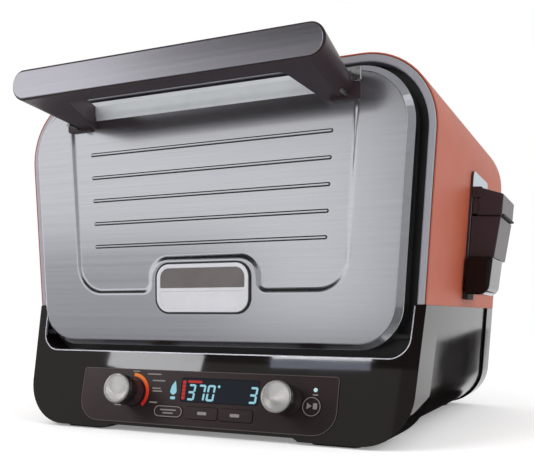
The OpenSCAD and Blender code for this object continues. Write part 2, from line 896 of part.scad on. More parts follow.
module knob_core() {
    translate([0, 0, panel_lip_w + knob_gap])
        cylinder(r = knob_skirt_r, h = knob_len - cap_t - panel_lip_w - knob_gap);
    translate([0, 0, board_w + switch_floor + slip])
        cylinder(r = shaft_r, h = knob_len - cap_t - board_w - switch_floor - slip);
}
module knob_cap()
    difference() {
        translate([0, 0, knob_len - cap_t - cap_lap])
            rotate_extrude()
                polygon([[0, 0], [knob_r, 0], [knob_r, cap_t + cap_lap - cap_chamfer],
                    [knob_r - cap_chamfer, cap_t + cap_lap], [0, cap_t + cap_lap]]);
        translate([0, 0, knob_len - cap_t - cap_lap - over])
            cylinder(r = knob_skirt_r + run, h = cap_lap + over);
    }
module function_knob() color(gloss_black) on_fascia() translate([-knob_left, knob_v, 0]) knob_core();
module time_knob() color(gloss_black) on_fascia() translate([knob_right, knob_v, 0]) knob_core();
module function_knob_cap() color(silver) on_fascia() translate([-knob_left, knob_v, 0]) knob_cap();
module time_knob_cap() color(silver) on_fascia() translate([knob_right, knob_v, 0]) knob_cap();

module dial_ring()
    color([0.85, 0.25, 0.08])
    on_fascia()
        translate([-knob_left, knob_v, panel_lip_w])
            rotate([0, 0, ring_start]) rotate_extrude(angle = ring_sweep)
                translate([ring_in, 0]) square([ring_out - ring_in, ring_t]);

module power_led()
    color([0.9, 0.85, 0.8])
    on_fascia() translate([led_u, led_v, -panel_plug])
        cylinder(r = led_r, h = panel_plug + panel_lip_w + led_proud);

module push_button(root, tip) {
    extrude_w(-button_root, panel_lip_w + button_proud) children(tip);
    extrude_w(-button_root, -panel_plug - slip) children(root);
}
module smoke_button()
    color(soft_black) on_fascia()
    push_button(0, 1) { button_rect(smoke_u, smoke_w, flange); button_rect(smoke_u, smoke_w, 0); }
module temp_button()
    color(soft_black) on_fascia() push_button(0, 1) { pair_rect(-1, flange); pair_rect(-1, 0); }
module time_button()
    color(soft_black) on_fascia() push_button(0, 1) { pair_rect(1, flange); pair_rect(1, 0); }
module start_button()
    color(soft_black) on_fascia()
    translate([start_u, start_v, 0])
    push_button(0, 1) { circle(r = start_r + flange); circle(r = start_r); }

board_l = 120;
board_d = 150;
board_back = 60;
power_z = 24;
board_post_r = 3;
board_post_x = 8;
board_post_y = 10;
block_place = [-45, 20];
block_size = [40, 45, 28];
can_count = 3;
can_place = [25, 30];
can_pitch = 40;
can_r = 9;
can_h = 22;
module power_board()
    color([0.1, 0.3, 0.2])
    translate([0, window_y0 + board_back, 0]) {
        translate([-board_l / 2, 0, power_z]) cube([board_l, board_d, board_t]);
        for (s = [-1, 1], y = [board_post_y, board_d - board_post_y])
            translate([s * (board_l / 2 - board_post_x), y, base_z])
                cylinder(r = board_post_r, h = power_z - base_z);
        translate([block_place.x, block_place.y, power_z + board_t]) cube(block_size);
        for (i = [0 : can_count - 1])
            translate([can_place.x, can_place.y + can_pitch * i, power_z + board_t])
                cylinder(r = can_r, h = can_h);
    }

// Door and its hinge
module at_hinge() translate([0, hinge_y, hinge_z]) children();

module hinge_brackets()
    color(grey)
    both_sides()
    difference() {
        union() {
            at_hinge() rod_x(lug_x0, lug_x1, lug_r);
            translate([lug_x0, hinge_y, hinge_z - lug_r])
                cube([lug_x1 - lug_x0, rim_d - hinge_y, 2 * lug_r]);
        }
        at_hinge() rod_x(0, far, pin_r + run);
    }

module hinge_pins() color(silver) both_sides() at_hinge() rod_x(block_x0 + pin_in, lug_x1, pin_r);

module field_shape(grow)
    difference() {
        outline(field_z0 - grow, field_z1 + grow, shell_w / 2 - field_half - grow - field_shift,
            field_r + grow, field_r + grow);
        rect(-badge_w / 2 - badge_margin + grow, badge_z - far / 8, badge_w / 2 + badge_margin - grow,
            badge_z + badge_h + badge_margin - grow, badge_r + badge_margin / 2);
        if (grow == 0)
            both_sides()
                rect(arm_x0 - 2 * bracket_lip, foot_z - 2 * bracket_lip, far / 8, far / 2, bracket_lip);
    }

module ribs()
    for (i = [0 : rib_count - 1])
        translate([0, 0, rib_top_z - i * rib_pitch])
            slab(door_y + field_sink - rib_rise, door_y + field_sink + skin_t / 2)
                stadium(2 * (rib_half - side_draft * i * rib_pitch), rib_h);

// Depth of a drawing that stands for a flat face
thin = 0.01;
module door_shell()
    hull() {
        slab(door_y, door_y + thin) door_outline(door_bevel);
        slab(bevel_y, tray_y) door_outline(0);
    }

module door_skin()
    color(steel)
    difference() {
        union() {
            difference() {
                door_shell();
                slab(bevel_y, tray_y + over) door_outline(skin_t);
                slab(door_y + skin_t, bevel_y + over) door_outline(door_bevel + skin_t);
                slab(door_y - over, bevel_y) field_shape(0);
            }
            slab(door_y + field_sink, door_y + field_sink + skin_t) field_shape(field_margin);
            ribs();
        }
        both_sides() at_hinge() rod_x(block_x1, far, pin_r + pin_room);
        handle_screw_places() rod_y(-far / 8, far / 8, screw_r + fit);
    }

module door_inner_panel()
    color(grey)
        difference() {
            union() {
                slab(tray_y, tray_y + inner_panel_t) above(hinge_z - inner_low) door_outline(skin_t);
                slab(tray_y, tray_y + inner_panel_t + inner_plug) cavity_shape(-seal_gap);
            }
            slab(tray_y - over, tray_y + inner_plug) cavity_shape(-seal_gap - inner_panel_t);
        }

module door_gasket()
    color(soft_black)
    slab(tray_y + inner_panel_t, rim_d - fit)
        difference() {
            cavity_shape(seal_gap + seal_w);
            cavity_shape(seal_gap);
        }

module door_insulation()
    color([0.85, 0.83, 0.76])
    slab(door_y + field_sink + skin_t + slip, tray_y - slip)
        rect(door_wool_side - block_x0, hinge_z + door_wool_low,
            block_x0 - door_wool_side, foot_z - door_wool_high, door_wool_r);

module door_badge()
    color(steel)
    slab(door_y - badge_t, door_y) rect(-badge_w / 2, badge_z, badge_w / 2, badge_z + badge_h, badge_r);

module door_hinge_blocks()
    color(grey)
    both_sides()
    difference() {
        translate([block_x0, hinge_y - lug_r, hinge_z - lug_r - block_foot])
            cube([block_x1 - block_x0, tray_y - hinge_y + lug_r, 2 * lug_r + block_foot + block_head]);
        at_hinge() rod_x(0, far, pin_r + run);
    }

module handle_screw_places()
    for (s = [-1, 1], k = screw_rows)
        translate([s * (arm_x0 + arm_x1) / 2, door_y, foot_z + foot_h * k]) children();

module handle_brackets()
    color(silver)
    difference() {
        both_sides()
            slab(door_y - bracket_t, door_y)
                rect(arm_x0 - bracket_lip, foot_z - bracket_lip,
                    arm_x1 + bracket_lip, foot_z + foot_h + bracket_lip, bracket_r);
        handle_screw_places() rod_y(-far / 8, far / 8, screw_r + fit);
    }

module handle_plan()
    difference() {
        rect(-arm_x1, bar_y + plate_t, arm_x1, door_y + far / 8, handle_end_r);
        rect(-arm_x0, bar_y + plate_t + handle_bar_d, arm_x0, door_y + far / 4, handle_fillet);
    }

module handle_body()
    color(soft_black)
    difference() {
        intersection() {
            translate([0, 0, foot_z - foot_h]) linear_extrude(4 * foot_h) handle_plan();
            side_slab(-far / 2, far / 2)
                polygon([[bar_y + plate_t, bar_z - handle_h / 2 - body_lip],
                    [door_y - bracket_t, foot_z], [door_y - bracket_t, foot_z + foot_h],
                    [bar_y + plate_t, bar_z + handle_h / 2 + body_lip]]);
            union() {
                translate([0, 0, bar_z])
                    slab(bar_y, bar_y + handle_bar_d) stadium(2 * arm_x1, handle_h + 2 * body_lip);
                slab(bar_y + handle_bar_d / 2, door_y)
                    translate([-arm_x1, foot_z - over]) square([2 * arm_x1, bar_z + foot_h - foot_z]);
            }
        }
        handle_screw_places() rod_y(-screw_bore, over, screw_r + run);
    }

module handle_plate()
    color(silver)
    translate([0, 0, bar_z]) slab(bar_y, bar_y + plate_t) stadium(handle_w, handle_h);

module handle_screws()
    color(grey)
    handle_screw_places() {
        rod_y(field_sink + skin_t, field_sink + skin_t + screw_head, screw_head_r);
        rod_y(-screw_len, field_sink + skin_t, screw_r);
    }

// Smoke box
module smoke_plate()
    color(grey)
    on_side()
    difference() {
        union() {
            side_slab(0, plate_w) rect(plate_y0, plate_z0, plate_y1, plate_z1, plate_r);
            for (y = [plate_y0, plate_y1 - ear_t])
                translate([plate_w - over, y, lid_axis_z - knuckle_r])
                    cube([lid_axis_x - plate_w + ear_reach, ear_t, 2 * knuckle_r]);
        }
        translate([lid_axis_x, 0, lid_axis_z]) rod_y(0, far, lid_pin_r + run);
        translate([0, rod_y_pos, rod_z]) rod_x(-over, far, igniter_r + slip);
    }

module smoke_hopper()
    color(soft_black)
    on_side()
    difference() {
        translate([plate_w, smoke_y, hopper_z]) cube([smoke_reach - plate_w, smoke_l, lid_z - hopper_z]);
        translate([plate_w + smoke_t, smoke_y + smoke_t, hopper_z + smoke_t])
            cube([smoke_reach - plate_w - 2 * smoke_t, smoke_l - 2 * smoke_t, far]);
        translate([0, rod_y_pos, rod_z]) rod_x(0, igniter_out, igniter_r + fit);
    }

module pellet_basket()
    color(silver)
    on_side()
    difference() {
        translate([plate_w + smoke_t + basket_back, smoke_y + smoke_t + basket_gap, hopper_z + smoke_t])
            cube([basket_w, basket_l, basket_h]);
        translate([plate_w + smoke_t + basket_back + basket_t,
            smoke_y + smoke_t + basket_gap + basket_t, hopper_z + smoke_t + basket_t])
            cube([basket_w - 2 * basket_t, basket_l - 2 * basket_t, far]);
    }

module smoke_base()
    color(gloss_black)
    on_side() {
        slab(smoke_y - smoke_base_front, smoke_y + smoke_l - smoke_base_back)
            polygon(concat([[plate_w, hopper_z], [plate_w, hopper_z - smoke_base_h]],
                arc([smoke_reach - smoke_base_in - smoke_base_r, hopper_z - smoke_base_h + smoke_base_r],
                    smoke_base_r, -90, 0),
                [[smoke_reach - smoke_base_in, hopper_z]]));
        translate([plate_w, smoke_y + vent_stub_y, plate_z0 + vent_stub_up]) cube(vent_stub);
    }

// The lid's section across the box, shrunk by its wall
module lid_section(t)
    polygon([[lid_axis_x - t, lid_z + slip - 2 * t], [smoke_reach + slip - t, lid_z + slip - 2 * t],
        [smoke_reach - lid_slope - t, lid_z + lid_h - lid_fall - t],
        [lid_axis_x - t, lid_z + lid_h - t]]);
module smoke_lid()
    color(soft_black)
    on_side()
    difference() {
        union() {
            difference() {
                slab(smoke_y, smoke_y + smoke_l) lid_section(0);
                slab(smoke_y + smoke_t, smoke_y + smoke_l - smoke_t) lid_section(smoke_t);
            }
            translate([lid_axis_x, 0, lid_axis_z]) rod_y(smoke_y, smoke_y + smoke_l, knuckle_r);
            translate([smoke_reach - over, smoke_y + lip_in, lid_z + slip])
                cube([over + slip + lip_reach, smoke_l - 2 * lip_in, lip_h - slip]);
        }
        translate([lid_axis_x, 0, lid_axis_z]) rod_y(0, far, lid_pin_r + run);
    }

module smoke_lid_pin()
    color(silver)
    on_side() translate([lid_axis_x, 0, lid_axis_z]) rod_y(plate_y0, plate_y1, lid_pin_r);

module igniter_rod()
    color(silver)
    on_side() translate([0, rod_y_pos, rod_z]) rod_x(-igniter_in, igniter_out, igniter_r);

place() outer_shell();
place() front_rim();
place() front_fascia();
place() base_housing();
place() rear_base_cover();
place() rear_panel();
place() rear_spacers();
place() housing_screws();
place() base_plate();
place() feet();
place() cavity_front_frame();
place() cavity_liner();
place() insulation_blanket();
place() fan_baffle();
place() fan_motor();
place() convection_fan();
place() upper_element();
place() lower_element();
place() temperature_probe();
place() rack_rails();
place() stone_rack();
place() pizza_stone();
place() control_panel();
place() display_window();
place() control_board();
place() function_switch();
place() time_encoder();
place() dial_ring();
place() power_led();
place() power_board();
place() cord_gland();
place() hinge_brackets();
place() hinge_pins();
place() door_skin();
place() door_inner_panel();
place() door_insulation();
place() door_gasket();
place() door_badge();
place() door_hinge_blocks();
place() handle_brackets();
place() handle_body();
place() handle_plate();
place() handle_screws();
place() function_knob();
place() function_knob_cap();
place() time_knob();
place() time_knob_cap();
place() smoke_button();
place() temp_button();
place() time_button();
place() start_button();
place() smoke_plate();
place() smoke_hopper();
place() smoke_base();
place() smoke_lid();
place() smoke_lid_pin();
place() pellet_basket();
place() igniter_rod();
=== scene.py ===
import json
import math

import bmesh
import bpy
from mathutils import Matrix, Vector

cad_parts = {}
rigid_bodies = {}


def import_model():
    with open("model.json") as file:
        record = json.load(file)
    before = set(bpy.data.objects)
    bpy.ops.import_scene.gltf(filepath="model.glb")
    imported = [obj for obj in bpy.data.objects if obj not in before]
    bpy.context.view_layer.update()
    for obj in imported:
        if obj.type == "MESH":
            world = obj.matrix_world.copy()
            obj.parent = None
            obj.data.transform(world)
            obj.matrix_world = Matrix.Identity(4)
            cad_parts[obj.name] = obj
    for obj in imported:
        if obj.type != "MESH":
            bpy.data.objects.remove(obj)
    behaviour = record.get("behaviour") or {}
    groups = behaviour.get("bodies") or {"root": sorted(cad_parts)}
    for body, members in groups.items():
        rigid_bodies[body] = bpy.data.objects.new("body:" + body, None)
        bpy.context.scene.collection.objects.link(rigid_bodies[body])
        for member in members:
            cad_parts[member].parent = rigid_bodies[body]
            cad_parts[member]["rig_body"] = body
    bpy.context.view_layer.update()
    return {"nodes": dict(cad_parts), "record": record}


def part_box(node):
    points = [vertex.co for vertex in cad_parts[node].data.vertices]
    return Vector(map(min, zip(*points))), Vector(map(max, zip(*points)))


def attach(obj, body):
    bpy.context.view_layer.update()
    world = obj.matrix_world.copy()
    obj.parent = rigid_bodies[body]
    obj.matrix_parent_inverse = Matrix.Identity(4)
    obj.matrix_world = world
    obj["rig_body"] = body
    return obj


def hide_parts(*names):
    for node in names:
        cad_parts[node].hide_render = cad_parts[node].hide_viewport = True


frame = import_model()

nodes = frame["nodes"]
slot_of = {part["node"]: part["material_slot"] for part in frame["record"]["subparts"]}

# Sizes in millimetres, x from the middle, y from the rim's front face, z from the table
MM = 0.001
shell_low, shell_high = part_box("outer_shell")
rim_low, rim_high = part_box("front_rim")
MIDDLE = (shell_low.x + shell_high.x) / 2
FRONT = rim_low.y
OVEN = Matrix.Translation((MIDDLE, FRONT, 0)) @ Matrix.Scale(MM, 4)


def box_mm(node):
    """The lowest and highest corner of a CAD node in the oven's millimetres."""
    back = OVEN.inverted()
    return tuple(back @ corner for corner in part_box(node))


HEIGHT = shell_high.z / MM
SEAM = shell_low.z / MM
REAR = (shell_high.y - FRONT) / MM
DRAFT = 0.05
SHELL_EASE = 0.02
# The sides' lines meet the top's height here; the round corners start lower
HALF_TOP = (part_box("front_fascia")[1].x - MIDDLE) / MM + DRAFT * (HEIGHT - SEAM) - SHELL_EASE
SLOPE = math.hypot(1, DRAFT)
CORNER_R = 76.0
SHELL_T = 1.5
RIM_D = (rim_high.y - rim_low.y) / MM
RIM_W = 9.4
RIM_STEP = 2.0
RIM_BELOW = 60.0
SHELL_FRONT = 1.0
ARC_STEPS, SECTION_STEPS = 16, 6
# Points closer than this are one; round ends stop short of a half circle
MERGE, AXIS_MERGE = 0.02, 1e-4
ROUND_SHARE = 0.999


def side_x(z, inset=0.0):
    """Half width of the body at a height, moved in square to the side."""
    return HALF_TOP - DRAFT * (HEIGHT - z) - inset * SLOPE


def trapezoid(z0, z1, inset):
    """The four corners of a drawing whose sides lean like the body's, from the lower left round."""
    low, high = side_x(z0, inset), side_x(z1, inset)
    return [(-low, z0), (low, z0), (high, z1), (-high, z1)]


def rectangle(x0, z0, x1, z1):
    return [(x0, z0), (x1, z0), (x1, z1), (x0, z1)]


def adjust(thing, **settings):
    """Sets a thing's attributes and returns it."""
    for name, value in settings.items():
        setattr(thing, name, value)
    return thing


# Shapes

def flat(bm, corners, radii, y=0.0, steps=ARC_STEPS):
    """A flat face through the corners, facing the front, with each corner rounded."""
    known = set(bm.faces)
    verts = [bm.verts.new((x, y, z)) for x, z in corners]
    bm.faces.new(verts)
    radii = radii if isinstance(radii, (list, tuple)) else [radii] * len(corners)
    count = len(corners)
    for i, radius in enumerate(radii):
        if radius:
            here = Vector(corners[i])
            ways = (Vector(corners[i - 1]) - here, Vector(corners[(i + 1) % count]) - here)
            reach = radius / math.tan(ways[0].angle(ways[1]) / 2)
            bmesh.ops.bevel(bm, geom=[verts[i]], offset=reach, offset_type="OFFSET", segments=steps,
                            profile=0.5, affect="VERTICES", material=-1)
    face = next(face for face in bm.faces if face not in known)
    bmesh.ops.remove_doubles(bm, verts=face.verts, dist=MERGE)
    bm.normal_update()
    return face


def stadium(bm, x0, x1, z, height, y=0.0, steps=ARC_STEPS):
    """A flat face with two round ends."""
    half = height / 2
    return flat(bm, rectangle(x0, z - half, x1, z + half), half * ROUND_SHARE, y, steps)


def extrude_edges(bm, edges, move):
    """Draws walls from edges along a move."""
    made = bmesh.ops.extrude_edge_only(bm, edges=list(edges))["geom"]
    bmesh.ops.translate(bm, vec=move, verts=[v for v in made if isinstance(v, bmesh.types.BMVert)])


def thicken(bm, faces, move):
    """Gives flat faces a depth along a move, and returns the faces at the far end."""
    made = bmesh.ops.extrude_face_region(bm, geom=list(faces))["geom"]
    bmesh.ops.translate(bm, vec=move, verts=[v for v in made if isinstance(v, bmesh.types.BMVert)])
    outward(bm)
    return [f for f in made if isinstance(f, bmesh.types.BMFace)]


def prism(section, y0, y1, radii=0, steps=SECTION_STEPS):
    """A solid with a section in X and Z between two depths."""
    bm = bmesh.new()
    flat(bm, section, radii, y0, steps)
    thicken(bm, bm.faces, (0, y1 - y0, 0))
    return bm


def whole(bm):
    return bm.verts[:] + bm.edges[:] + bm.faces[:]


def outward(bm):
    bmesh.ops.recalc_face_normals(bm, faces=bm.faces)


def inset(bm, face, width, depth):
    """A sloped border inside a face, whose middle then lies a depth higher."""
    bmesh.ops.inset_region(bm, faces=[face], thickness=width, depth=depth, use_even_offset=True,
                           use_boundary=True)
    bm.normal_update()


def soften(bm, edges, width, steps=3):
    """Rounds edges over a width."""
    bmesh.ops.bevel(bm, geom=list(edges), offset=width, offset_type="OFFSET", segments=steps, profile=0.5,
                    affect="EDGES", material=-1)


def punch(bm, face, holes):
    """Fills a flat face again round the outlines of the holes, which keep their own faces."""
    edges = list(face.edges) + [edge for hole in holes for edge in hole.edges]
    normal = face.normal.copy()
    bmesh.ops.delete(bm, geom=[face], context="FACES_ONLY")
    bmesh.ops.triangle_fill(bm, use_beauty=True, use_dissolve=False, edges=edges, normal=normal)


def lathe(bm, profile, steps=64):
    """Turns a profile of radius and height round the Z axis."""
    verts = [bm.verts.new((r, 0, h)) for r, h in profile]
    edges = [bm.edges.new(pair) for pair in zip(verts, verts[1:])]
    bmesh.ops.spin(bm, geom=verts + edges, cent=(0, 0, 0), axis=(0, 0, 1), angle=math.tau,
                   steps=steps, use_merge=True)
    bmesh.ops.remove_doubles(bm, verts=bm.verts, dist=AXIS_MERGE)
    outward(bm)


# Finishes

# Clouds of tint are this much larger than a finish's grain, and bands than a brushed one's lines
CLOUDS, BANDS = 40, 12
HAIR_LENGTH, HAIR_TINT, HAIR_DEPTH, HAIR_ROUGH = 90.0, 0.06, 0.003, 0.02


def joined(tree, kind, operation, first, second):
    """Two values in one, by a node of mathematics."""
    node = adjust(tree.nodes.new(kind), operation=operation)
    tree.links.new(first, node.inputs[0])
    tree.links.new(second, node.inputs[1])
    return node.outputs[0]


class Finish:
    """A material whose nodes hang on one Principled shader and read Object coordinates."""

    def __init__(self, name, **sockets):
        self.material = bpy.data.materials.new(name)
        self.material.use_nodes = True
        self.tree = self.material.node_tree
        self.shader = self.tree.nodes["Principled BSDF"]
        self.set(self.shader, sockets)
        self.coords = self.node("ShaderNodeTexCoord").outputs["Object"]

    def set(self, node, sockets):
        for name, value in sockets.items():
            socket = node.inputs[name.replace("_", " ")]
            if isinstance(value, bpy.types.NodeSocket):
                self.tree.links.new(value, socket)
            else:
                socket.default_value = value

    def node(self, kind, settings=None, **sockets):
        node = adjust(self.tree.nodes.new(kind), **(settings or {}))
        self.set(node, sockets)
        return node

    def noise(self, size, stretch=(1, 1, 1), detail=2.0):
        """Noise whose grains are a size in millimetres, drawn out along stretched axes."""
        place = self.node("ShaderNodeMapping", Vector=self.coords, Scale=[1 / s for s in stretch])
        cloud = self.node("ShaderNodeTexNoise", Vector=place.outputs["Vector"], Scale=1 / (size * MM),
                          Detail=detail, Roughness=0.55)
        return cloud.outputs["Fac"]

    def ramp(self, factor, stops):
        """Colours along a factor."""
        node = self.node("ShaderNodeValToRGB", Fac=factor)
        elements = node.color_ramp.elements
        while len(elements) < len(stops):
            elements.new(0.5)
        for element, (place, colour) in zip(elements, stops):
            element.position = place
            element.color = (*colour, 1)
        return node.outputs["Color"]

    def span(self, factor, low, high, start=0.3, end=0.7):
        node = self.node("ShaderNodeMapRange", Value=factor, From_Min=start, From_Max=end,
                         To_Min=low, To_Max=high)
        return node.outputs["Result"]

    def bump(self, height, depth, strength=1.0, below=None):
        """Relief of a depth in millimetres."""
        sockets = {"Height": height, "Distance": depth * MM, "Strength": strength}
        if below:
            sockets["Normal"] = below
        return self.node("ShaderNodeBump", **sockets).outputs["Normal"]

    def tangent(self, uv):
        """The direction of a UV map's first axis."""
        node = self.node("ShaderNodeTangent", {"direction_type": "UV_MAP", "uv_map": uv})
        return node.outputs["Tangent"]

    def put(self, **sockets):
        self.set(self.shader, sockets)
        return self.material


def shade(colour, factor):
    return tuple(min(1.0, c * factor) for c in colour)


def grained(name, colour, roughness, size=1.2, depth=0.02, tint=0.07, rough=0.06, stretch=(1, 1, 1),
            **sockets):
    """A finish with a fine grain: its colour, gloss and relief all follow a small noise."""
    finish = Finish(name + "_finish", **sockets)
    grain = finish.noise(size, stretch)
    cloud = finish.noise(size * CLOUDS, stretch, detail=1.0)
    colours = finish.ramp(cloud, [(0.3, shade(colour, 1 - tint)), (0.7, shade(colour, 1 + tint))])
    gloss = finish.span(grain, max(0.02, roughness - rough), roughness + rough)
    return finish.put(Base_Color=colours, Roughness=gloss, Normal=finish.bump(grain, depth))


def brushed(name, colour, roughness, line=0.5, grain=0.0):
    """Brushed metal: hair lines run along X and streak the colour and the gloss."""
    finish = Finish(name + "_finish", Metallic=1.0)
    stretch = (HAIR_LENGTH / line, 1, 1)
    lines = finish.noise(line, stretch, detail=3.0)
    bands = finish.noise(line * BANDS, stretch)
    mixed = joined(finish.tree, "ShaderNodeMath", "ADD", lines, bands)
    colours = finish.ramp(finish.span(mixed, 0, 1, 0.7, 1.3),
                          [(0.0, shade(colour, 1 - HAIR_TINT)), (1.0, shade(colour, 1 + HAIR_TINT))])
    gloss = finish.span(bands, roughness - HAIR_ROUGH, roughness + HAIR_ROUGH)
    if grain:
        finish.put(Tangent=finish.tangent("grain"), Anisotropic=grain)
    return finish.put(Base_Color=colours, Roughness=gloss, Normal=finish.bump(lines, HAIR_DEPTH, 0.5))


TERRACOTTA = (0.43, 0.1, 0.053)
STEEL = (0.56, 0.565, 0.6)
BLACK = (0.0075, 0.0052, 0.005)
BROWN_BLACK = (0.034, 0.0215, 0.026)
PANEL = (0.022, 0.0145, 0.0146)
PRINT = (0.24, 0.215, 0.205)
GLOW = (0.3, 0.62, 0.72)


def knob_metal(name, centre):
    """Spun aluminium: fine rings round the knob's own middle."""
    finish = Finish(name, Metallic=1.0, Anisotropic=0.88, Base_Color=(0.56, 0.545, 0.53, 1))
    place = finish.node("ShaderNodeMapping", {"vector_type": "TEXTURE"}, Vector=finish.coords,
                        Location=centre, Rotation=(math.pi / 2 - FASCIA_LEAN, 0, 0))
    rings = finish.node("ShaderNodeTexWave", {"wave_type": "RINGS", "rings_direction": "Z"},
                        Vector=place.outputs["Vector"], Scale=1.1 / MM, Distortion=0.6, Detail=2.0)
    gloss = finish.span(rings.outputs["Fac"], 0.22, 0.3, 0.0, 1.0)
    return finish.put(Roughness=gloss, Tangent=finish.tangent("turn"),
                      Normal=finish.bump(rings.outputs["Fac"], 0.006))


PIT_SIZE = 3.5


def baking_stone():
    """Unglazed stone: sandy clouds, dark and light specks and small pits."""
    finish = Finish("baking_stone_finish")
    cloud = finish.noise(28.0, detail=4.0)
    speck = finish.noise(1.6, detail=1.0)
    pits = finish.node("ShaderNodeTexVoronoi", Vector=finish.coords, Scale=1 / (PIT_SIZE * MM))
    sand = finish.ramp(cloud, [(0.3, (0.47, 0.37, 0.26)), (0.7, (0.62, 0.53, 0.41))])
    dark = finish.ramp(speck, [(0.3, (0.35, 0.3, 0.25)), (0.42, (1, 1, 1))])
    mixed = joined(finish.tree, "ShaderNodeVectorMath", "MULTIPLY", sand, dark)
    return finish.put(Base_Color=mixed, Roughness=finish.span(cloud, 0.78, 0.92),
                      Normal=finish.bump(pits.outputs["Distance"], 0.12, 0.5, finish.bump(speck, 0.1)))


def heat_scale():
    """Print that runs from orange at the top to red at the bottom, with a faint painted glow."""
    finish = Finish("heat_scale_finish", Roughness=0.4)
    low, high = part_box("dial_ring")
    height = finish.node("ShaderNodeSeparateXYZ", Vector=finish.coords).outputs["Z"]
    share = finish.span(height, 0, 1, low.z, high.z)
    colours = finish.ramp(share, [(0.1, (0.55, 0.012, 0.008)), (0.55, (0.7, 0.045, 0.01)),
                                  (0.95, (0.8, 0.2, 0.02))])
    return finish.put(Base_Color=colours, Emission_Color=colours, Emission_Strength=0.08)


def heater_sheath():
    """Oxidised tube with straw and blue heat bands along it."""
    finish = Finish("heater_sheath_finish", Metallic=0.85)
    bands = finish.noise(22.0)
    fine = finish.noise(0.8)
    colours = finish.ramp(bands, [(0.3, (0.09, 0.085, 0.1)), (0.5, (0.17, 0.14, 0.115)),
                                  (0.7, (0.11, 0.12, 0.15))])
    return finish.put(Base_Color=colours, Roughness=finish.span(fine, 0.42, 0.62),
                      Normal=finish.bump(fine, 0.02))


def lamp(name, colour):
    """Light that shines through a printed window."""
    finish = Finish(name + "_finish", Roughness=0.35, Specular_IOR_Level=0.0, Emission_Strength=1.0)
    grain = finish.noise(1.5)
    colours = finish.ramp(grain, [(0.2, shade(colour, 0.86)), (0.8, colour)])
    return finish.put(Base_Color=(0.02, 0.02, 0.02, 1), Emission_Color=colours)


FASCIA_LEAN = math.radians(13.5)
GLOSS = dict(size=60.0, tint=0.15, Specular_IOR_Level=0.2)
SATIN = dict(size=0.5, tint=0.03)
FINISHES = {
    "terracotta_paint": grained(
        "terracotta", TERRACOTTA, 0.5, size=0.9, depth=0.012, tint=0.03, Specular_IOR_Level=0.25),
    "door_steel": brushed("door_steel", STEEL, 0.2, grain=0.4),
    "handle_steel": brushed("handle_steel", (0.56, 0.545, 0.6), 0.22, grain=0.4),
    "rim_grey": grained("rim_grey", (0.44, 0.43, 0.47), 0.36, depth=0.006, Metallic=0.55, **SATIN),
    "gloss_black": grained("gloss_black", BLACK, 0.035, depth=0.01, rough=0.01, **GLOSS),
    "base_black": grained("base_black", BLACK, 0.11, depth=0.02, rough=0.02, **GLOSS),
    "soft_black": grained(
        "soft_black", BROWN_BLACK, 0.36, size=0.7, depth=0.015, Specular_IOR_Level=0.38),
    "panel_black": grained("panel_black", PANEL, 0.48, size=0.5, depth=0.012, Specular_IOR_Level=0.1),
    "dark_enamel": grained("dark_enamel", (0.022, 0.021, 0.023), 0.34, size=1.6, depth=0.015),
    "sheet_steel": brushed("sheet_steel", (0.42, 0.41, 0.4), 0.38, line=0.8),
    "bright_metal": grained("bright_metal", (0.68, 0.68, 0.69), 0.16, size=2.0, depth=0.004,
                            tint=0.03, rough=0.05, Metallic=1.0),
    "heater_sheath": heater_sheath(),
    "baking_stone": baking_stone(),
    "wool": grained("wool", (0.72, 0.68, 0.57), 0.95, size=1.5, depth=0.6, tint=0.1, stretch=(6, 1, 6)),
    "circuit_board": grained("circuit_board", (0.03, 0.13, 0.07), 0.4, size=2.5, depth=0.05, tint=0.2),
    "display_glass": grained("display_glass", (0.003, 0.0055, 0.011), 0.1, size=40.0, depth=0.004,
                             tint=0.2, rough=0.02, Specular_IOR_Level=0.2),
    "heat_scale": heat_scale(),
    "led_lens": lamp("led_lens", (0.55, 0.8, 0.85)),
    "rubber": grained("rubber", (0.02, 0.02, 0.02), 0.75, size=0.6, depth=0.03),
    "badge_metal": grained("badge_metal", (0.7, 0.7, 0.74), 0.32, depth=0.004, Metallic=0.35, **SATIN),
}
SMOKE_STEEL = brushed("smoke_plate", (0.55, 0.6, 0.66), 0.4, line=0.8)
# Lighter ring round the control panel's edge: a painted highlight
PANEL_EDGE_HIGHLIGHT = grained("panel_edge", (0.085, 0.07, 0.066), 0.4, size=0.6, depth=0.004)
PRINTED = grained("printed_mark", PRINT, 0.5, size=0.6, depth=0.004)
# Darker steel for the creases round the ribs: painted shade
CREASE_PAINTED_SHADE = brushed("crease_painted_shade", (0.13, 0.125, 0.13), 0.4)
# Paler satin for the door's top band: painted light
TOP_PAINTED_LIGHT = grained("door_top_painted_light", (0.58, 0.605, 0.625), 0.4, depth=0.004, Metallic=0.3, **SATIN)
BADGE_DARK = grained("badge_field", (0.17, 0.15, 0.15), 0.42, size=0.5, depth=0.006, Metallic=0.4)
GLOWING = lamp("glowing_digit", GLOW)
GLOWING_RED = lamp("glowing_red", (0.5, 0.025, 0.02))
DARK_SKIRT = grained("knob_skirt", (0.012, 0.011, 0.012), 0.3, size=0.6, depth=0.008)


# Pieces

# Faces that look this straight to the front stay flat
FACING = 0.9995
FLAT_WEIGHT = 80
SHARP_ANGLE = math.radians(50)
NODE_MERGE, NODE_FLAT = 1e-6, math.radians(0.5)


def mesh_of(name, bm):
    mesh = bpy.data.meshes.new(name)
    bm.to_mesh(mesh)
    bm.free()
    return mesh


def linked(name, data):
    obj = bpy.data.objects.new(name, data)
    bpy.context.scene.collection.objects.link(obj)
    return obj


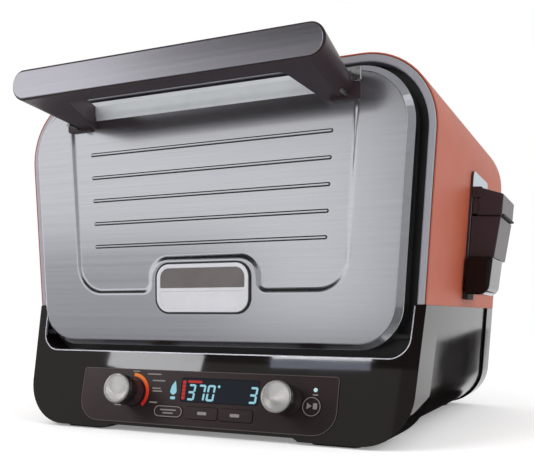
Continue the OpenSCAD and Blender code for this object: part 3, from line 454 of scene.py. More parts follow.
def finish_piece(obj, edge=0.0, segments=2, limit=30.0, wall=0.0, flat_from=0.0):
    """Softens a piece's sharp edges and keeps its large flat faces flat."""
    if wall:
        adjust(obj.modifiers.new("wall", "SOLIDIFY"), thickness=wall * MM, offset=-1.0,
               use_even_offset=True)
    if edge:
        adjust(obj.modifiers.new("soft edges", "BEVEL"), width=edge * MM, segments=segments,
               limit_method="ANGLE", angle_limit=math.radians(limit), use_clamp_overlap=True)
    if flat_from:
        for face in obj.data.polygons:
            face.use_smooth = face.area < flat_from * MM * MM and abs(face.normal.y) < FACING
    else:
        adjust(obj.modifiers.new("flat faces", "WEIGHTED_NORMAL"), weight=FLAT_WEIGHT, keep_sharp=True)


replaced = set()


def piece(name, bm, body, slot, materials=None, replaces=(), place=OVEN, grain=False, **softening):
    """Makes an object of a mesh drawn in millimetres, with its slot's finish if no other is given."""
    bm.transform(place)
    if grain:
        layer = bm.loops.layers.uv.new("grain")
        for face in bm.faces:
            for loop in face.loops:
                loop[layer].uv = loop.vert.co.xz
    mesh = mesh_of(name, bm)
    for material in materials or [FINISHES[slot]]:
        mesh.materials.append(material)
    mesh.shade_smooth()
    mesh.set_sharp_from_angle(angle=SHARP_ANGLE)
    obj = linked(name, mesh)
    finish_piece(obj, **softening)
    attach(obj, body)
    if replaces:
        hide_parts(*replaces)
        replaced.update(replaces)
    return obj


def dress(node, finish=None, **softening):
    """A merged copy of a CAD node, with soft edges and a finish, stands for it."""
    bm = bmesh.new()
    bm.from_mesh(nodes[node].data)
    bmesh.ops.remove_doubles(bm, verts=bm.verts, dist=NODE_MERGE)
    bmesh.ops.dissolve_limit(bm, angle_limit=NODE_FLAT, verts=bm.verts, edges=bm.edges)
    slot = slot_of[node]
    return piece(node + "_dressed", bm, nodes[node]["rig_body"], slot, [FINISHES[finish or slot]],
                 (node,), Matrix.Identity(4), **softening)


# The planes of the leaning fascia and of the right side
FASCIA_Y = -SEAM * math.tan(FASCIA_LEAN)
FASCIA = OVEN @ Matrix.Translation((0, FASCIA_Y, 0)) @ Matrix.Rotation(math.pi / 2 - FASCIA_LEAN, 4, "X")
# A drawing in X and Z, laid on the fascia with its depth outwards
ON_FASCIA = FASCIA @ Matrix.Rotation(-math.pi / 2, 4, "X")
SIDE = OVEN @ Matrix.Translation((side_x(0), 0, 0)) @ Matrix.Rotation(math.atan(DRAFT), 4, "Y")

# Door
door_low, door_high = box_mm("door_skin")
DOOR_INSET = 18.4
DOOR_BEVEL = 6.5
DOOR_LOW_R = 44.0
DOOR_TOP_R = 57.6
DOOR_TOP = 366.6
FIELD_Z0, FIELD_Z1 = 152.0, 350.5
FIELD_HALF = 172.0
FIELD_SINK = 1.75
FIELD_SLOPE = 4.2
FIELD_TILT = 0.0045
# The field's corners on the right: two at the step round the badge, the lower and the upper one
FIELD_RADII = [19.5, 11, 33, 14]
NOTCH_X, NOTCH_Z = 63.5, 187.5
# Between the handle's arms the top of the front has a paler finish: painted light standing in for a
# brighter reflection there
TOP_BAND_Z, TOP_BAND_X, TOP_BAND_FACING = 343.5, 150.0, 0.3
RIB_Z, RIB_PITCH, RIB_COUNT, RIB_STEPS = 307.6, 25.6, 5, 8
RIB_HALF, RIB_H, RIB_RISE, RIB_SLOPE, RIB_CLEAR = 145.0, 4.2, 1.4, 0.9, 1.0
CREASE_W, CREASE_D = 0.5, 0.6
DOOR_SOFT, FIELD_SOFT = 0.6, 1.6
FLAT_AREA = 3.0
SKIN_T = 1.2


def door_skin():
    """The bevelled steel skin with its pressed field, ribs and the step round the badge."""
    bm = bmesh.new()
    front = flat(bm, trapezoid(door_low.z, DOOR_TOP, DOOR_INSET),
                 [DOOR_LOW_R, DOOR_LOW_R, DOOR_TOP_R, DOOR_TOP_R], y=door_low.y + DOOR_BEVEL)
    edge_loops = list(front.edges)
    extrude_edges(bm, front.edges, (0, door_high.y - door_low.y - DOOR_BEVEL, 0))
    inset(bm, front, DOOR_BEVEL, DOOR_BEVEL)
    edge_loops += list(front.edges)
    low_half = FIELD_HALF - DRAFT * (FIELD_Z1 - FIELD_Z0)
    right = [(NOTCH_X, NOTCH_Z), (NOTCH_X, FIELD_Z0), (low_half, FIELD_Z0), (FIELD_HALF, FIELD_Z1)]
    left = [(-x, z) for x, z in reversed(right)]
    field = flat(bm, right + left, FIELD_RADII + FIELD_RADII[::-1], y=door_low.y)
    punch(bm, front, [field])
    field_loops = list(field.edges)
    inset(bm, field, FIELD_SLOPE, -FIELD_SINK)
    field_loops += list(field.edges)
    leaning = set(field.verts)
    floor_y = door_low.y + FIELD_SINK
    rib_low = RIB_Z - (RIB_COUNT - 1) * RIB_PITCH - RIB_H
    ribs = []
    for i in range(RIB_COUNT):
        half = RIB_HALF - DRAFT * i * RIB_PITCH
        ribs.append(stadium(bm, -half, half, RIB_Z - i * RIB_PITCH, RIB_H, floor_y, RIB_STEPS))
    punch(bm, field, ribs)
    for rib in ribs:
        inset(bm, rib, CREASE_W, -CREASE_D)
        # The crease faces round each rib take darker steel: painted shade in the creases
        for crease in {f for e in rib.edges for f in e.link_faces if f != rib}:
            crease.material_index = 1
        inset(bm, rib, RIB_SLOPE, RIB_RISE + CREASE_D)
    leaning.update(v for v in bm.verts
                   if abs(v.co.x) < RIB_HALF + RIB_CLEAR and rib_low < v.co.z < RIB_Z + RIB_H)
    for vert in leaning:
        vert.co.y += FIELD_TILT * (vert.co.z - FIELD_Z0)
    bm.normal_update()
    soften(bm, edge_loops, DOOR_SOFT)
    soften(bm, field_loops, FIELD_SOFT)
    outward(bm)
    # Faces of the top band take the paler painted light
    for face in bm.faces:
        at_top = min(v.co.z for v in face.verts) > TOP_BAND_Z
        inside = abs(face.calc_center_median().x) < TOP_BAND_X
        if at_top and inside and abs(face.normal.y) > TOP_BAND_FACING:
            face.material_index = 2
    piece("door_skin_pressed", bm, "door", "door_steel", [FINISHES["door_steel"], CREASE_PAINTED_SHADE, TOP_PAINTED_LIGHT],
          ("door_skin",), grain=True, wall=SKIN_T, flat_from=FLAT_AREA)


def front_rim():
    """The satin hoop round the door, a step inside the shell."""
    bm = bmesh.new()
    top = CORNER_R - RIM_STEP
    face = flat(bm, trapezoid(SEAM - RIM_BELOW, HEIGHT - RIM_STEP, RIM_STEP), [0, 0, top, top])
    inset(bm, face, RIM_W - RIM_STEP, 0)
    bmesh.ops.delete(bm, geom=[face], context="FACES")
    bmesh.ops.bisect_plane(bm, geom=whole(bm), plane_co=(0, 0, SEAM),
                           plane_no=(0, 0, 1), clear_inner=True)
    thicken(bm, bm.faces, (0, RIM_D, 0))
    piece("front_rim_hoop", bm, "oven_body", "rim_grey", replaces=("front_rim",), edge=1.2,
          segments=3)


def outer_shell():
    """The painted hoop of sheet metal over the body."""
    bm = bmesh.new()
    face = flat(bm, trapezoid(SEAM, HEIGHT, 0), [0, 0, CORNER_R, CORNER_R], y=SHELL_FRONT)
    hoop = [e for e in face.edges if max(v.co.z for v in e.verts) > SEAM + MERGE]
    seam = [e for e in face.edges if e not in hoop]
    bmesh.ops.delete(bm, geom=[face], context="FACES_ONLY")
    extrude_edges(bm, hoop, (0, REAR - SHELL_FRONT, 0))
    bmesh.ops.delete(bm, geom=seam, context="EDGES")
    outward(bm)
    piece("outer_shell_hoop", bm, "oven_body", "terracotta_paint", replaces=("outer_shell",),
          edge=0.5, wall=SHELL_T)


def cut(bm, cutter):
    """The first mesh without the space of the second."""
    pair = [linked(name, mesh_of(name, shape)) for name, shape in (("kept", bm), ("taken", cutter))]
    kept, taken = pair
    adjust(kept.modifiers.new("cut", "BOOLEAN"), operation="DIFFERENCE", solver="EXACT", object=taken)
    result = bmesh.new()
    result.from_object(kept, bpy.context.evaluated_depsgraph_get())
    for obj in pair:
        mesh = obj.data
        bpy.data.objects.remove(obj)
        bpy.data.meshes.remove(mesh)
    return result


# Handle: a bar with round ends, on two arms that run in and down towards the door
plate_low, plate_high = box_mm("handle_plate")
body_low = box_mm("handle_body")[0]
bracket_low = box_mm("handle_brackets")[0]
BAR_Z = (plate_low.z + plate_high.z) / 2
BAR_DEPTH, ARM_IN, ARM_FILLET = 25.0, 122.0, 8.0
PLATE_LIP, PLATE_STEPS, PLATE_SOFT = 2.0, 24, 0.5
# The arms start to run in at this share of the bar's depth
ARM_BEND = 0.5
FOOT_IN, FOOT_SHIFT, FOOT_Y = 143.0, 6.0, -15.6
BAR_BACK_Z0, BAR_BACK_Z1, FOOT_Z0, FOOT_Z1 = 346.5, 366.0, 336.0, 360.5
# The space between the arms is cut this far past the feet, and this many half heights tall
WINDOW_PAST, WINDOW_TALL = 20.0, 8
BRACKET_X0, BRACKET_X1, BRACKET_R = 142.0, 173.4, 2.5
# Foot plates are bright metal above the split height and soft black below it, which is painted shade
# under the arms
BRACKET_Z0, BRACKET_Z1, BRACKET_SHADE_Z, BRACKET_GAP = 334.0, 364.0, 350.0, 0.4
# The head of a screw on the arms, as shares of its radius and heights
SCREW_HEAD = [(0, 0.6), (0.5, 0.6), (0.55, 1.2), (0.8, 1.2), (1, 0.8), (1, -4.0), (0, -4.0)]
SCREW_R, SCREW_Y, SCREW_Z, SCREW_SINK, SCREW_STEPS = 4.2, -32.0, 352.5, 0.6, 32


def arm_share(y):
    """How far along the arms a depth lies, from the bar to the door."""
    bend = body_low.y + BAR_DEPTH * ARM_BEND
    return max(0.0, (y - bend) / (FOOT_Y - bend))


def between(low, high, share):
    return low + (high - low) * share


def body_z(y, share, half_z):
    """The height of a point of the body, whose share runs from its underside to its top."""
    back = body_low.y + BAR_DEPTH
    if y < back:
        along = (y - body_low.y) / BAR_DEPTH
        low = between(BAR_Z - half_z, BAR_BACK_Z0, along)
        high = between(BAR_Z + half_z, BAR_BACK_Z1, along)
    else:
        along = (y - back) / (FOOT_Y - back)
        low = between(BAR_BACK_Z0, FOOT_Z0, along)
        high = between(BAR_BACK_Z1, FOOT_Z1, along)
    return between(low, high, share)


def handle_body():
    """The dark bar with its arms: the space between them is cut out, then the arms are bent."""
    half_x = plate_high.x + PLATE_LIP
    half_z = (plate_high.z - plate_low.z) / 2 + PLATE_LIP
    bm = bmesh.new()
    stadium(bm, -half_x, half_x, BAR_Z, 2 * half_z, y=body_low.y)
    thicken(bm, bm.faces, (0, FOOT_Y - body_low.y, 0))
    window = bmesh.new()
    bar_back = body_low.y + BAR_DEPTH
    past = FOOT_Y + WINDOW_PAST
    past_x = between(ARM_IN, FOOT_IN, (past - bar_back) / (FOOT_Y - bar_back))
    flat(window, [(-ARM_IN, bar_back), (ARM_IN, bar_back), (past_x, past), (-past_x, past)],
         [ARM_FILLET, ARM_FILLET, 0, 0])
    tall = WINDOW_TALL * half_z
    thicken(window, window.faces, (0, tall, 0))
    turn = Matrix.Rotation(-math.pi / 2, 3, "X")
    bmesh.ops.rotate(window, verts=window.verts, cent=(0, 0, 0), matrix=turn)
    bmesh.ops.translate(window, verts=window.verts, vec=(0, 0, BAR_Z + tall / 2))
    outward(window)
    bm = cut(bm, window)
    for vert in bm.verts:
        share = arm_share(vert.co.y)
        vert.co.z = body_z(vert.co.y, (vert.co.z - BAR_Z + half_z) / (2 * half_z), half_z)
        vert.co.x -= math.copysign(FOOT_SHIFT * share, vert.co.x)
    piece("handle_body_shaped", bm, "door", "soft_black", replaces=("handle_body",), edge=4.0,
          segments=4, limit=40)


def handle_fittings():
    """The steel front plate, the foot plates, bright metal above and painted shade in soft black below,
    and the screws on the arms.
    """
    bm = bmesh.new()
    stadium(bm, plate_low.x, plate_high.x, BAR_Z, plate_high.z - plate_low.z, y=plate_high.y,
            steps=PLATE_STEPS)
    front = thicken(bm, bm.faces, (0, plate_low.y - plate_high.y, 0))
    soften(bm, front[0].edges, PLATE_SOFT)
    piece("handle_plate_brushed", bm, "door", "handle_steel", replaces=("handle_plate",), grain=True,
          flat_from=FLAT_AREA)
    # The lower plates' soft black is painted shade
    for name, z0, z1, finish in (("caps", BRACKET_SHADE_Z + BRACKET_GAP, BRACKET_Z1, "bright_metal"),
                                 ("feet", BRACKET_Z0, BRACKET_SHADE_Z, "soft_black")):
        bm = bmesh.new()
        for x0, x1 in ((BRACKET_X0, BRACKET_X1), (-BRACKET_X1, -BRACKET_X0)):
            flat(bm, rectangle(x0, z0, x1, z1), BRACKET_R, y=bracket_low.y)
        thicken(bm, bm.faces, (0, FOOT_Y - bracket_low.y, 0))
        piece("handle_bracket_" + name, bm, "door", finish, edge=0.5,
              replaces=("handle_brackets",) if name == "feet" else ())
    bm = bmesh.new()
    lathe(bm, [(SCREW_R * share, height) for share, height in SCREW_HEAD], SCREW_STEPS)
    out = plate_high.x + PLATE_LIP - FOOT_SHIFT * arm_share(SCREW_Y)
    turn = Matrix.Rotation(math.pi / 2, 4, "Y")
    bm.transform(Matrix.Translation((out - SCREW_SINK, SCREW_Y, SCREW_Z)) @ turn)
    bmesh.ops.mirror(bm, geom=whole(bm), axis="X", merge_dist=0.0)
    outward(bm)
    piece("handle_arm_screws", bm, "door", "bright_metal", [FINISHES["dark_enamel"]])


# A lip on the fascia below the door, clear of its swing, with a grey line along its inner edge that is a
# painted highlight of that edge
LIP_PAINTED_HIGHLIGHT, LIP_PROUD, LIP_DEEP, LIP_CLEAR = 1.1, 0.06, 3.0, 1.0
LIP_INSET, LIP_Z, LIP_R = 5.0, 81.5, 30.0
LIP_HOLE_INSET, LIP_HOLE_Z, LIP_HOLE_R = 10.4, 86.5, 22.0


def opening_lip():
    """The lip, drawn upright and then laid on the fascia's slope."""
    bm = bmesh.new()
    outer = flat(bm, trapezoid(LIP_Z, HEIGHT, LIP_INSET), [LIP_R, LIP_R, 0, 0])
    hole = flat(bm, trapezoid(LIP_HOLE_Z, HEIGHT - LIP_CLEAR, LIP_HOLE_INSET),
                [LIP_HOLE_R, LIP_HOLE_R, 0, 0])
    punch(bm, outer, [hole])
    known = set(bm.faces)
    inset(bm, hole, LIP_PAINTED_HIGHLIGHT, 0)
    # The border round the hole takes the grey: a painted highlight of the lip's edge
    for border in set(bm.faces) - known:
        border.material_index = 1
    bmesh.ops.delete(bm, geom=[hole], context="FACES")
    bmesh.ops.bisect_plane(bm, geom=whole(bm), plane_co=(0, 0, SEAM - LIP_CLEAR), plane_no=(0, 0, 1),
                           clear_outer=True)
    bmesh.ops.remove_doubles(bm, verts=bm.verts, dist=MERGE)
    thicken(bm, bm.faces, (0, -LIP_DEEP, 0))
    for vert in bm.verts:
        vert.co.y += LIP_DEEP - LIP_PROUD - (SEAM - vert.co.z) * math.tan(FASCIA_LEAN)
    return piece("fascia_opening_lip", bm, "oven_body", "gloss_black",
                 [FINISHES["gloss_black"], FINISHES["rim_grey"]], (), flat_from=FLAT_AREA)


# Badge: a bare plate in two tones
badge_low, badge_high = box_mm("door_badge")
badge_low.z, badge_high.z = 131.5, 183.0
BADGE_R, BADGE_RIM, BADGE_SPLIT, BADGE_SINK = 15.0, 4.0, 155.5, 0.5
BADGE_BAR, BADGE_SHADE_W, BADGE_SPLIT_R, BADGE_SOFT = 1.4, 1.9, 2.0, 0.8


def badge_outline(out):
    """The badge's corners, moved out."""
    return rectangle(badge_low.x - out, badge_low.z - out, badge_high.x + out, badge_high.z + out)


def door_badge():
    """The plate on a dark ring, which is painted shadow round it."""
    # A dark rubber ring round the plate: painted shadow of the gap round it
    shade_ring = prism(badge_outline(BADGE_SHADE_W), badge_high.y - BADGE_SHADE_W, badge_high.y,
                   BADGE_R + BADGE_SHADE_W, ARC_STEPS)
    piece("door_badge_shade_ring", shade_ring, "door", "rubber")
    bm = bmesh.new()
    front = flat(bm, badge_outline(0), BADGE_R, y=badge_low.y)
    rim = list(front.edges)
    extrude_edges(bm, front.edges, (0, badge_high.y - badge_low.y, 0))
    (x0, z0), _, (x1, z1), _ = badge_outline(-BADGE_RIM)
    round_r = BADGE_R - BADGE_RIM
    upper = flat(bm, rectangle(x0, BADGE_SPLIT + BADGE_BAR, x1, z1),
                 [BADGE_SPLIT_R, BADGE_SPLIT_R, round_r, round_r], y=badge_low.y)
    lower = flat(bm, rectangle(x0, z0, x1, BADGE_SPLIT - BADGE_BAR),
                 [round_r, round_r, BADGE_SPLIT_R, BADGE_SPLIT_R], y=badge_low.y)
    punch(bm, front, [upper, lower])
    for field in (upper, lower):
        inset(bm, field, BADGE_SINK, -BADGE_SINK)
    upper.material_index = 1
    soften(bm, rim, BADGE_SOFT)
    outward(bm)
    piece("door_badge_plate", bm, "door", "badge_metal", [FINISHES["badge_metal"], BADGE_DARK],
          ("door_badge",), flat_from=FLAT_AREA)


# Controls on the leaning fascia: u to the right, v up the slope, w out of it
KNOB_U = {"function": -86.0, "time": 102.0}
KNOB_V, KNOB_R, KNOB_LEN, KNOB_RING = 44.0, 16.5, 33.0, 6.0
# A knob's section, in from its rim and down from its face
KNOB_SECTION = [(KNOB_R, 0.5), (3.2, 0.5), (2.8, 0.1), (2.4, 0), (1.4, 0), (0.5, 0.4), (0, 1.3),
                (0, KNOB_RING), (0.35, KNOB_RING + 0.3), (0.35, 16.5), (1, 17)]


def top_w(node):
    """How far a node stands out of the fascia's plane."""
    back = FASCIA.inverted()
    return max((back @ vert.co).z for vert in nodes[node].data.vertices)


def knob_cap(which, body):
    """A turned cap: a spun face in a bright ring, over a dark skirt."""
    bm = bmesh.new()
    lathe(bm, [(KNOB_R - inward, KNOB_LEN - down) for inward, down in KNOB_SECTION])
    turn = bm.loops.layers.uv.new("turn")
    for face in bm.faces:
        angles = [math.atan2(loop.vert.co.y, loop.vert.co.x) for loop in face.loops]
        for loop, angle in zip(face.loops, angles):
            if max(angles) - min(angles) > math.pi and angle < 0:
                angle += math.tau
            loop[turn].uv = (angle / math.tau, loop.vert.co.xy.length / KNOB_R)
        if face.calc_center_median().z < KNOB_LEN - KNOB_RING:
            face.material_index = 1
    place = FASCIA @ Matrix.Translation((KNOB_U[which], KNOB_V, 0))
    metal = knob_metal(which + "_knob_metal", place.translation)
    return piece(which + "_knob_turned", bm, body, "knob_aluminium", [metal, DARK_SKIRT],
                 (which + "_knob_cap",), place)


# Marks are u and v of their middle, width and height, or corners and a radius
PRINT_T, PRINT_STEPS = 0.12, 8
LABEL_H, LABEL_ROUND = 1.4, 0.3
LABELS = [(-60, 65, 18), (-53.5, 58, 16), (-55.5, 49.5, 11), (-54, 46.5, 12), (-57.5, 34, 10),
          (-112, 47.5, 8), (-109, 37.5, 8), (-104, 29, 9), (-84, 67.5, 9)]
LAMP_MARK = (131, 51, 5.5, 1.3)
PANEL_EDGE, PANEL_EDGE_T, PANEL_EDGE_W = (rectangle(-155.0, 10.0, 155.0, 70.0), [25, 25, 4, 4]), 0.2, 0.7
ROW_V = 25.0
SMOKE_KEY, SMOKE_KEY_W = (rectangle(-54.4, ROW_V - 5.9, -19.6, ROW_V + 5.9), 5.8), 0.8
SMOKE_KEY_MARKS = [(-37, ROW_V + 1.6, 20), (-37, ROW_V - 1.8, 13)]
KEY_MARKS = {"temp": (5.0, ROW_V, 11, 3.4), "time": (44.0, ROW_V, 11, 3.4)}
START_KEY, START_KEY_W = (rectangle(118.4, 29.4, 137.6, 48.6), 9.55), 0.7
START_PLAY = ([(123, 36.2), (128.2, 39.6), (123, 43)], 0.3)
START_PAUSE = (rectangle(129.6, 36.6, 134, 42.6), 0.5)
# The display's lower left corner and its top, then its figures from their lower left corners
DISPLAY_U0, DISPLAY_V0, DISPLAY_V1 = -24.0, 36.5, 62.5
FIGURES, FIGURE_V = [(-16.5, "3"), (-4.3, "7"), (7.2, "0"), (57.0, "3")], 38.3
DEGREE = (rectangle(20.5, 53.0, 23.5, 56.0), 1.4)
# Seven segments, numbered from the top clockwise with the middle last
SEGMENTS = {"0": "012345", "3": "01236", "7": "012"}
DIGIT_W, DIGIT_H, DIGIT_BAR, DIGIT_SLANT = 9.4, 17.6, 2.3, 0.1
# Shares of a segment's width: how far it stops short across and upright, and its corners
DIGIT_GAP, DIGIT_CUT, DIGIT_ROUND = 0.62, 0.6, 0.25
# Lit steps beside the figures and a line over them, from the display's corners
HEAT_STEPS, HEAT_PITCH, HEAT_ROUND = 5, 4.2, 0.4
HEAT_STEP, HEAT_LINE = (1.5, 2.5, 5.5, 6.2), (8, -5.2, 25, -2.6)
# The flame and the line below it, from its middle
FLAME_U, FLAME_V = -33.5, 49.0
FLAME = [(-4.2, -3), (0, -6), (4.2, -3), (3.2, 3.5), (1.6, 10), (-2.6, 4)]
FLAME_RADII = [2.4, 2.0, 2.4, 2.0, 0.4, 2.0]
FLAME_LINE, FLAME_LINE_R = (-3, -10.5, 3, -7.5), 0.8


def printed(name, outlines, w, slot="panel_black", material=PRINTED, body="oven_body", height=PRINT_T,
            rings=0.0):
    """Thin marks on the fascia's plane, filled or drawn as rings."""
    bm = bmesh.new()
    for corners, radius in outlines:
        face = flat(bm, corners, radius, y=-w, steps=PRINT_STEPS)
        if rings:
            inset(bm, face, rings, 0)
            bmesh.ops.delete(bm, geom=[face], context="FACES")
    thicken(bm, bm.faces, (0, -height, 0))
    piece(name, bm, body, slot, [material], (), ON_FASCIA)


def bar(u, v, width, height=LABEL_H):
    corners = rectangle(u - width / 2, v - height / 2, u + width / 2, v + height / 2)
    return corners, height * LABEL_ROUND


def shifted(corners, u, v):
    return [(u + x, v + z) for x, z in corners]


def digit(u, v, number):
    """Outlines of the lit segments of one figure whose lower left corner is given."""
    half, mid = DIGIT_BAR / 2, DIGIT_H / 2
    gap = DIGIT_BAR * DIGIT_GAP
    short = gap * DIGIT_CUT
    across = {"0": DIGIT_H - half, "6": mid, "3": half}
    upright = {"1": (DIGIT_W - half, mid, DIGIT_H), "2": (DIGIT_W - half, 0, mid),
               "4": (half, 0, mid), "5": (half, mid, DIGIT_H)}
    shapes = []
    for name in SEGMENTS[number]:
        if name in across:
            corners = rectangle(gap, across[name] - half, DIGIT_W - gap, across[name] + half)
        else:
            x, z0, z1 = upright[name]
            corners = rectangle(x - half, z0 + short, x + half, z1 - short)
        slanted = [(x + DIGIT_SLANT * z, z) for x, z in corners]
        shapes.append((shifted(slanted, u, v), DIGIT_BAR * DIGIT_ROUND))
    return shapes


def control_marks():
    """Prints, a painted highlight round the panel's edge, and lit figures: plain bars, numbers and signs.
    """
    panel = top_w("control_panel")
    # The panel's edge line is a painted highlight of that edge
    printed("panel_edge_painted_highlight", [PANEL_EDGE], panel, material=PANEL_EDGE_HIGHLIGHT, height=PANEL_EDGE_T,
            rings=PANEL_EDGE_W)
    printed("panel_labels", [bar(*label) for label in LABELS], panel)
    glass = top_w("display_window")
    lit = [shape for u, number in FIGURES for shape in digit(u, FIGURE_V, number)]
    printed("lit_figures", lit + [DEGREE], glass, "display_glass", GLOWING)
    red = [(shifted(rectangle(*HEAT_STEP), DISPLAY_U0, DISPLAY_V0 + HEAT_PITCH * i), HEAT_ROUND)
           for i in range(HEAT_STEPS)]
    red.append((shifted(rectangle(*HEAT_LINE), DISPLAY_U0, DISPLAY_V1), HEAT_ROUND))
    printed("lit_heat_bar", red, glass, "display_glass", GLOWING_RED)
    flame = [(shifted(FLAME, FLAME_U, FLAME_V), FLAME_RADII),
             (shifted(rectangle(*FLAME_LINE), FLAME_U, FLAME_V), FLAME_LINE_R)]
    printed("lit_flame", flame, panel, "led_lens", GLOWING)
    smoke = top_w("smoke_button")
    printed("smoke_key_ring", [SMOKE_KEY], smoke, body="smoke_key", rings=SMOKE_KEY_W)
    printed("smoke_key_mark", [bar(*mark) for mark in SMOKE_KEY_MARKS], smoke, body="smoke_key")
    for which, mark in KEY_MARKS.items():
        printed(which + "_key_mark", [bar(*mark)], top_w(which + "_button"), body=which + "_key")
    start = top_w("start_button")
    printed("start_key_ring", [START_KEY], start, body="start_key", rings=START_KEY_W)
    printed("start_key_mark", [START_PLAY, START_PAUSE], start, body="start_key")
    printed("lamp_mark", [bar(*LAMP_MARK)], panel)


# Smoke box, drawn on the right side: x out of the shell, y to the back, z up the side
SMOKE_Y0, SMOKE_Y1 = 180.0, 272.0
HOPPER_Z0, HOPPER_Z1, LID_TOP = 197.0, 244.0, 277.0
SMOKE_BACK, SMOKE_REACH, SMOKE_LOW_REACH = 3.0, 36.0, 31.5
SMOKE_WALL = 2.5
SMOKE_PLATE, SMOKE_PLATE_R = (177.0, 166.0, 276.0, 295.5), 8.0
BASE_Z, BASE_FRONT, BASE_BACK, BASE_REACH = 154.0, 12.5, 27.0, 30.0
BASE_OUT, BASE_GAP, BASE_RADII = 0.8, 0.3, [3, 11.0, 0, 0]
STUB, STUB_R, STUB_Y0, STUB_Y1 = (0, BASE_Z - 6, 6, BASE_Z + 3), 1, SMOKE_Y0 - 4, SMOKE_Y0 + 33
EAR_DROP, EAR_OUT, EAR_T, EAR_GAP, EAR_RADII = 12, 5, 3.2, 0.4, [0, 3, 3, 0]
# The lid's cover: its hinge side, its fall outwards, its edges past the hopper and its gap above it
LID_X, LID_FALL, LID_OUT, LID_TOP_OUT, LID_PAST = 9.3, 8.0, 0.8, 1.2, 0.6
LID_Z = HOPPER_Z1 + 0.6
# Its cheeks: the gap to the plate, the lap under the cover, and the distance from its edges
CHEEK_GAP, CHEEK_LAP, CHEEK_T, CHEEK_UP, CHEEK_DOWN, CHEEK_BACK_DOWN = 0.8, 1, 2, 2, 1, 3
PULL_IN, PULL_OUT, PULL_H, PULL_END, PULL_RADII = 1, 3.2, 2.4, 4, [0, 1, 1, 0]
BASKET_BACK, BASKET_DROP, BASKET_GAP, BASKET_UP, BASKET_TOP_GAP, BASKET_T = 3, 3, 1, 0.5, 1.6, 1
SECTION = Matrix.Rotation(math.pi / 2, 4, "Z")


def cup(x0, low, high, z0, z1, y0, y1, wall):
    """An open box whose outer side leans from a low to a high reach."""
    inner = [(x0 + wall, z0 + wall), (low - wall, z0 + wall), (high - wall, z1), (high - wall, LID_TOP),
             (x0 + wall, LID_TOP)]
    return cut(prism([(x0, z0), (low, z0), (high, z1), (x0, z1)], y0, y1),
               prism(inner, y0 + wall, y1 - wall))


def smoke_box():
    """The steel plate on the shell, the hopper, the block and stub below it and the lid's ears."""
    bm = bmesh.new()
    flat(bm, rectangle(*SMOKE_PLATE), SMOKE_PLATE_R)
    bm.transform(SECTION)
    thicken(bm, bm.faces, (SMOKE_BACK, 0, 0))
    # The plate's edge faces take soft black: a painted dark outline of shade round it
    for face in bm.faces:
        face.material_index = 0 if abs(face.normal.x) > 0.5 else 1
    piece("smoke_plate_panel", bm, "oven_body", slot_of["smoke_plate"],
          [SMOKE_STEEL, FINISHES["soft_black"]], ("smoke_plate",), SIDE, edge=0.6)
    bm = cup(SMOKE_BACK, SMOKE_LOW_REACH, SMOKE_REACH, HOPPER_Z0, HOPPER_Z1, SMOKE_Y0, SMOKE_Y1,
             SMOKE_WALL)
    piece("smoke_hopper_tapered", bm, "oven_body", "soft_black", replaces=("smoke_hopper",), place=SIDE,
          edge=1.2, segments=3)
    base_top = HOPPER_Z0 - BASE_GAP
    base = [(SMOKE_BACK, BASE_Z), (BASE_REACH, BASE_Z), (SMOKE_LOW_REACH + BASE_OUT, base_top),
            (SMOKE_BACK, base_top)]
    bm = prism(base, SMOKE_Y0 - BASE_FRONT, SMOKE_Y1 - BASE_BACK, BASE_RADII)
    piece("smoke_base_block", bm, "oven_body", slot_of["smoke_base"], [FINISHES["gloss_black"]],
          ("smoke_base",), SIDE, edge=2.2, segments=4, limit=50)
    piece("smoke_vent_stub", prism(rectangle(*STUB), STUB_Y0, STUB_Y1, STUB_R), "oven_body", "rubber",
          place=SIDE, edge=0.5)
    ear = rectangle(SMOKE_BACK, LID_TOP - EAR_DROP, LID_X + EAR_OUT, LID_TOP)
    for name, y in (("front", SMOKE_Y0 - EAR_GAP - EAR_T), ("rear", SMOKE_Y1 + EAR_GAP)):
        piece("smoke_ear_" + name, prism(ear, y, y + EAR_T, EAR_RADII), "oven_body", "soft_black",
              place=SIDE, edge=0.4)


def lid_section(inward):
    """The section of the lid's cover, moved in and down."""
    corners = [(LID_X, LID_Z), (SMOKE_REACH + LID_OUT, LID_Z),
               (SMOKE_REACH + LID_TOP_OUT, LID_TOP - LID_FALL), (LID_X, LID_TOP)]
    return shifted(corners, -inward, -inward)


def smoke_lid():
    """The hollow cover with its cheeks and pull."""
    bm = cut(prism(lid_section(0), SMOKE_Y0 - LID_PAST, SMOKE_Y1 + LID_PAST),
             prism(lid_section(SMOKE_WALL), SMOKE_Y0 + SMOKE_WALL, SMOKE_Y1 - SMOKE_WALL))
    piece("smoke_lid_cover", bm, "smoke_box_lid", "soft_black", replaces=("smoke_lid",), place=SIDE,
          edge=1.6, segments=3)
    x0, x1, z0 = SMOKE_BACK + CHEEK_GAP, LID_X + CHEEK_LAP, LID_Z + CHEEK_UP
    cheek = [(x0, z0), (x1, z0), (x1, LID_TOP - CHEEK_DOWN), (x0, LID_TOP - CHEEK_BACK_DOWN)]
    for name, y in (("front", SMOKE_Y0), ("rear", SMOKE_Y1 - CHEEK_T)):
        piece("smoke_lid_cheek_" + name, prism(cheek, y, y + CHEEK_T), "smoke_box_lid", "soft_black",
              place=SIDE)
    pull = rectangle(SMOKE_REACH - PULL_IN, LID_Z, SMOKE_REACH + PULL_OUT, LID_Z + PULL_H)
    piece("smoke_lid_lip", prism(pull, SMOKE_Y0 + PULL_END, SMOKE_Y1 - PULL_END, PULL_RADII),
          "smoke_box_lid", "soft_black", [FINISHES["rubber"]], place=SIDE, edge=0.3)


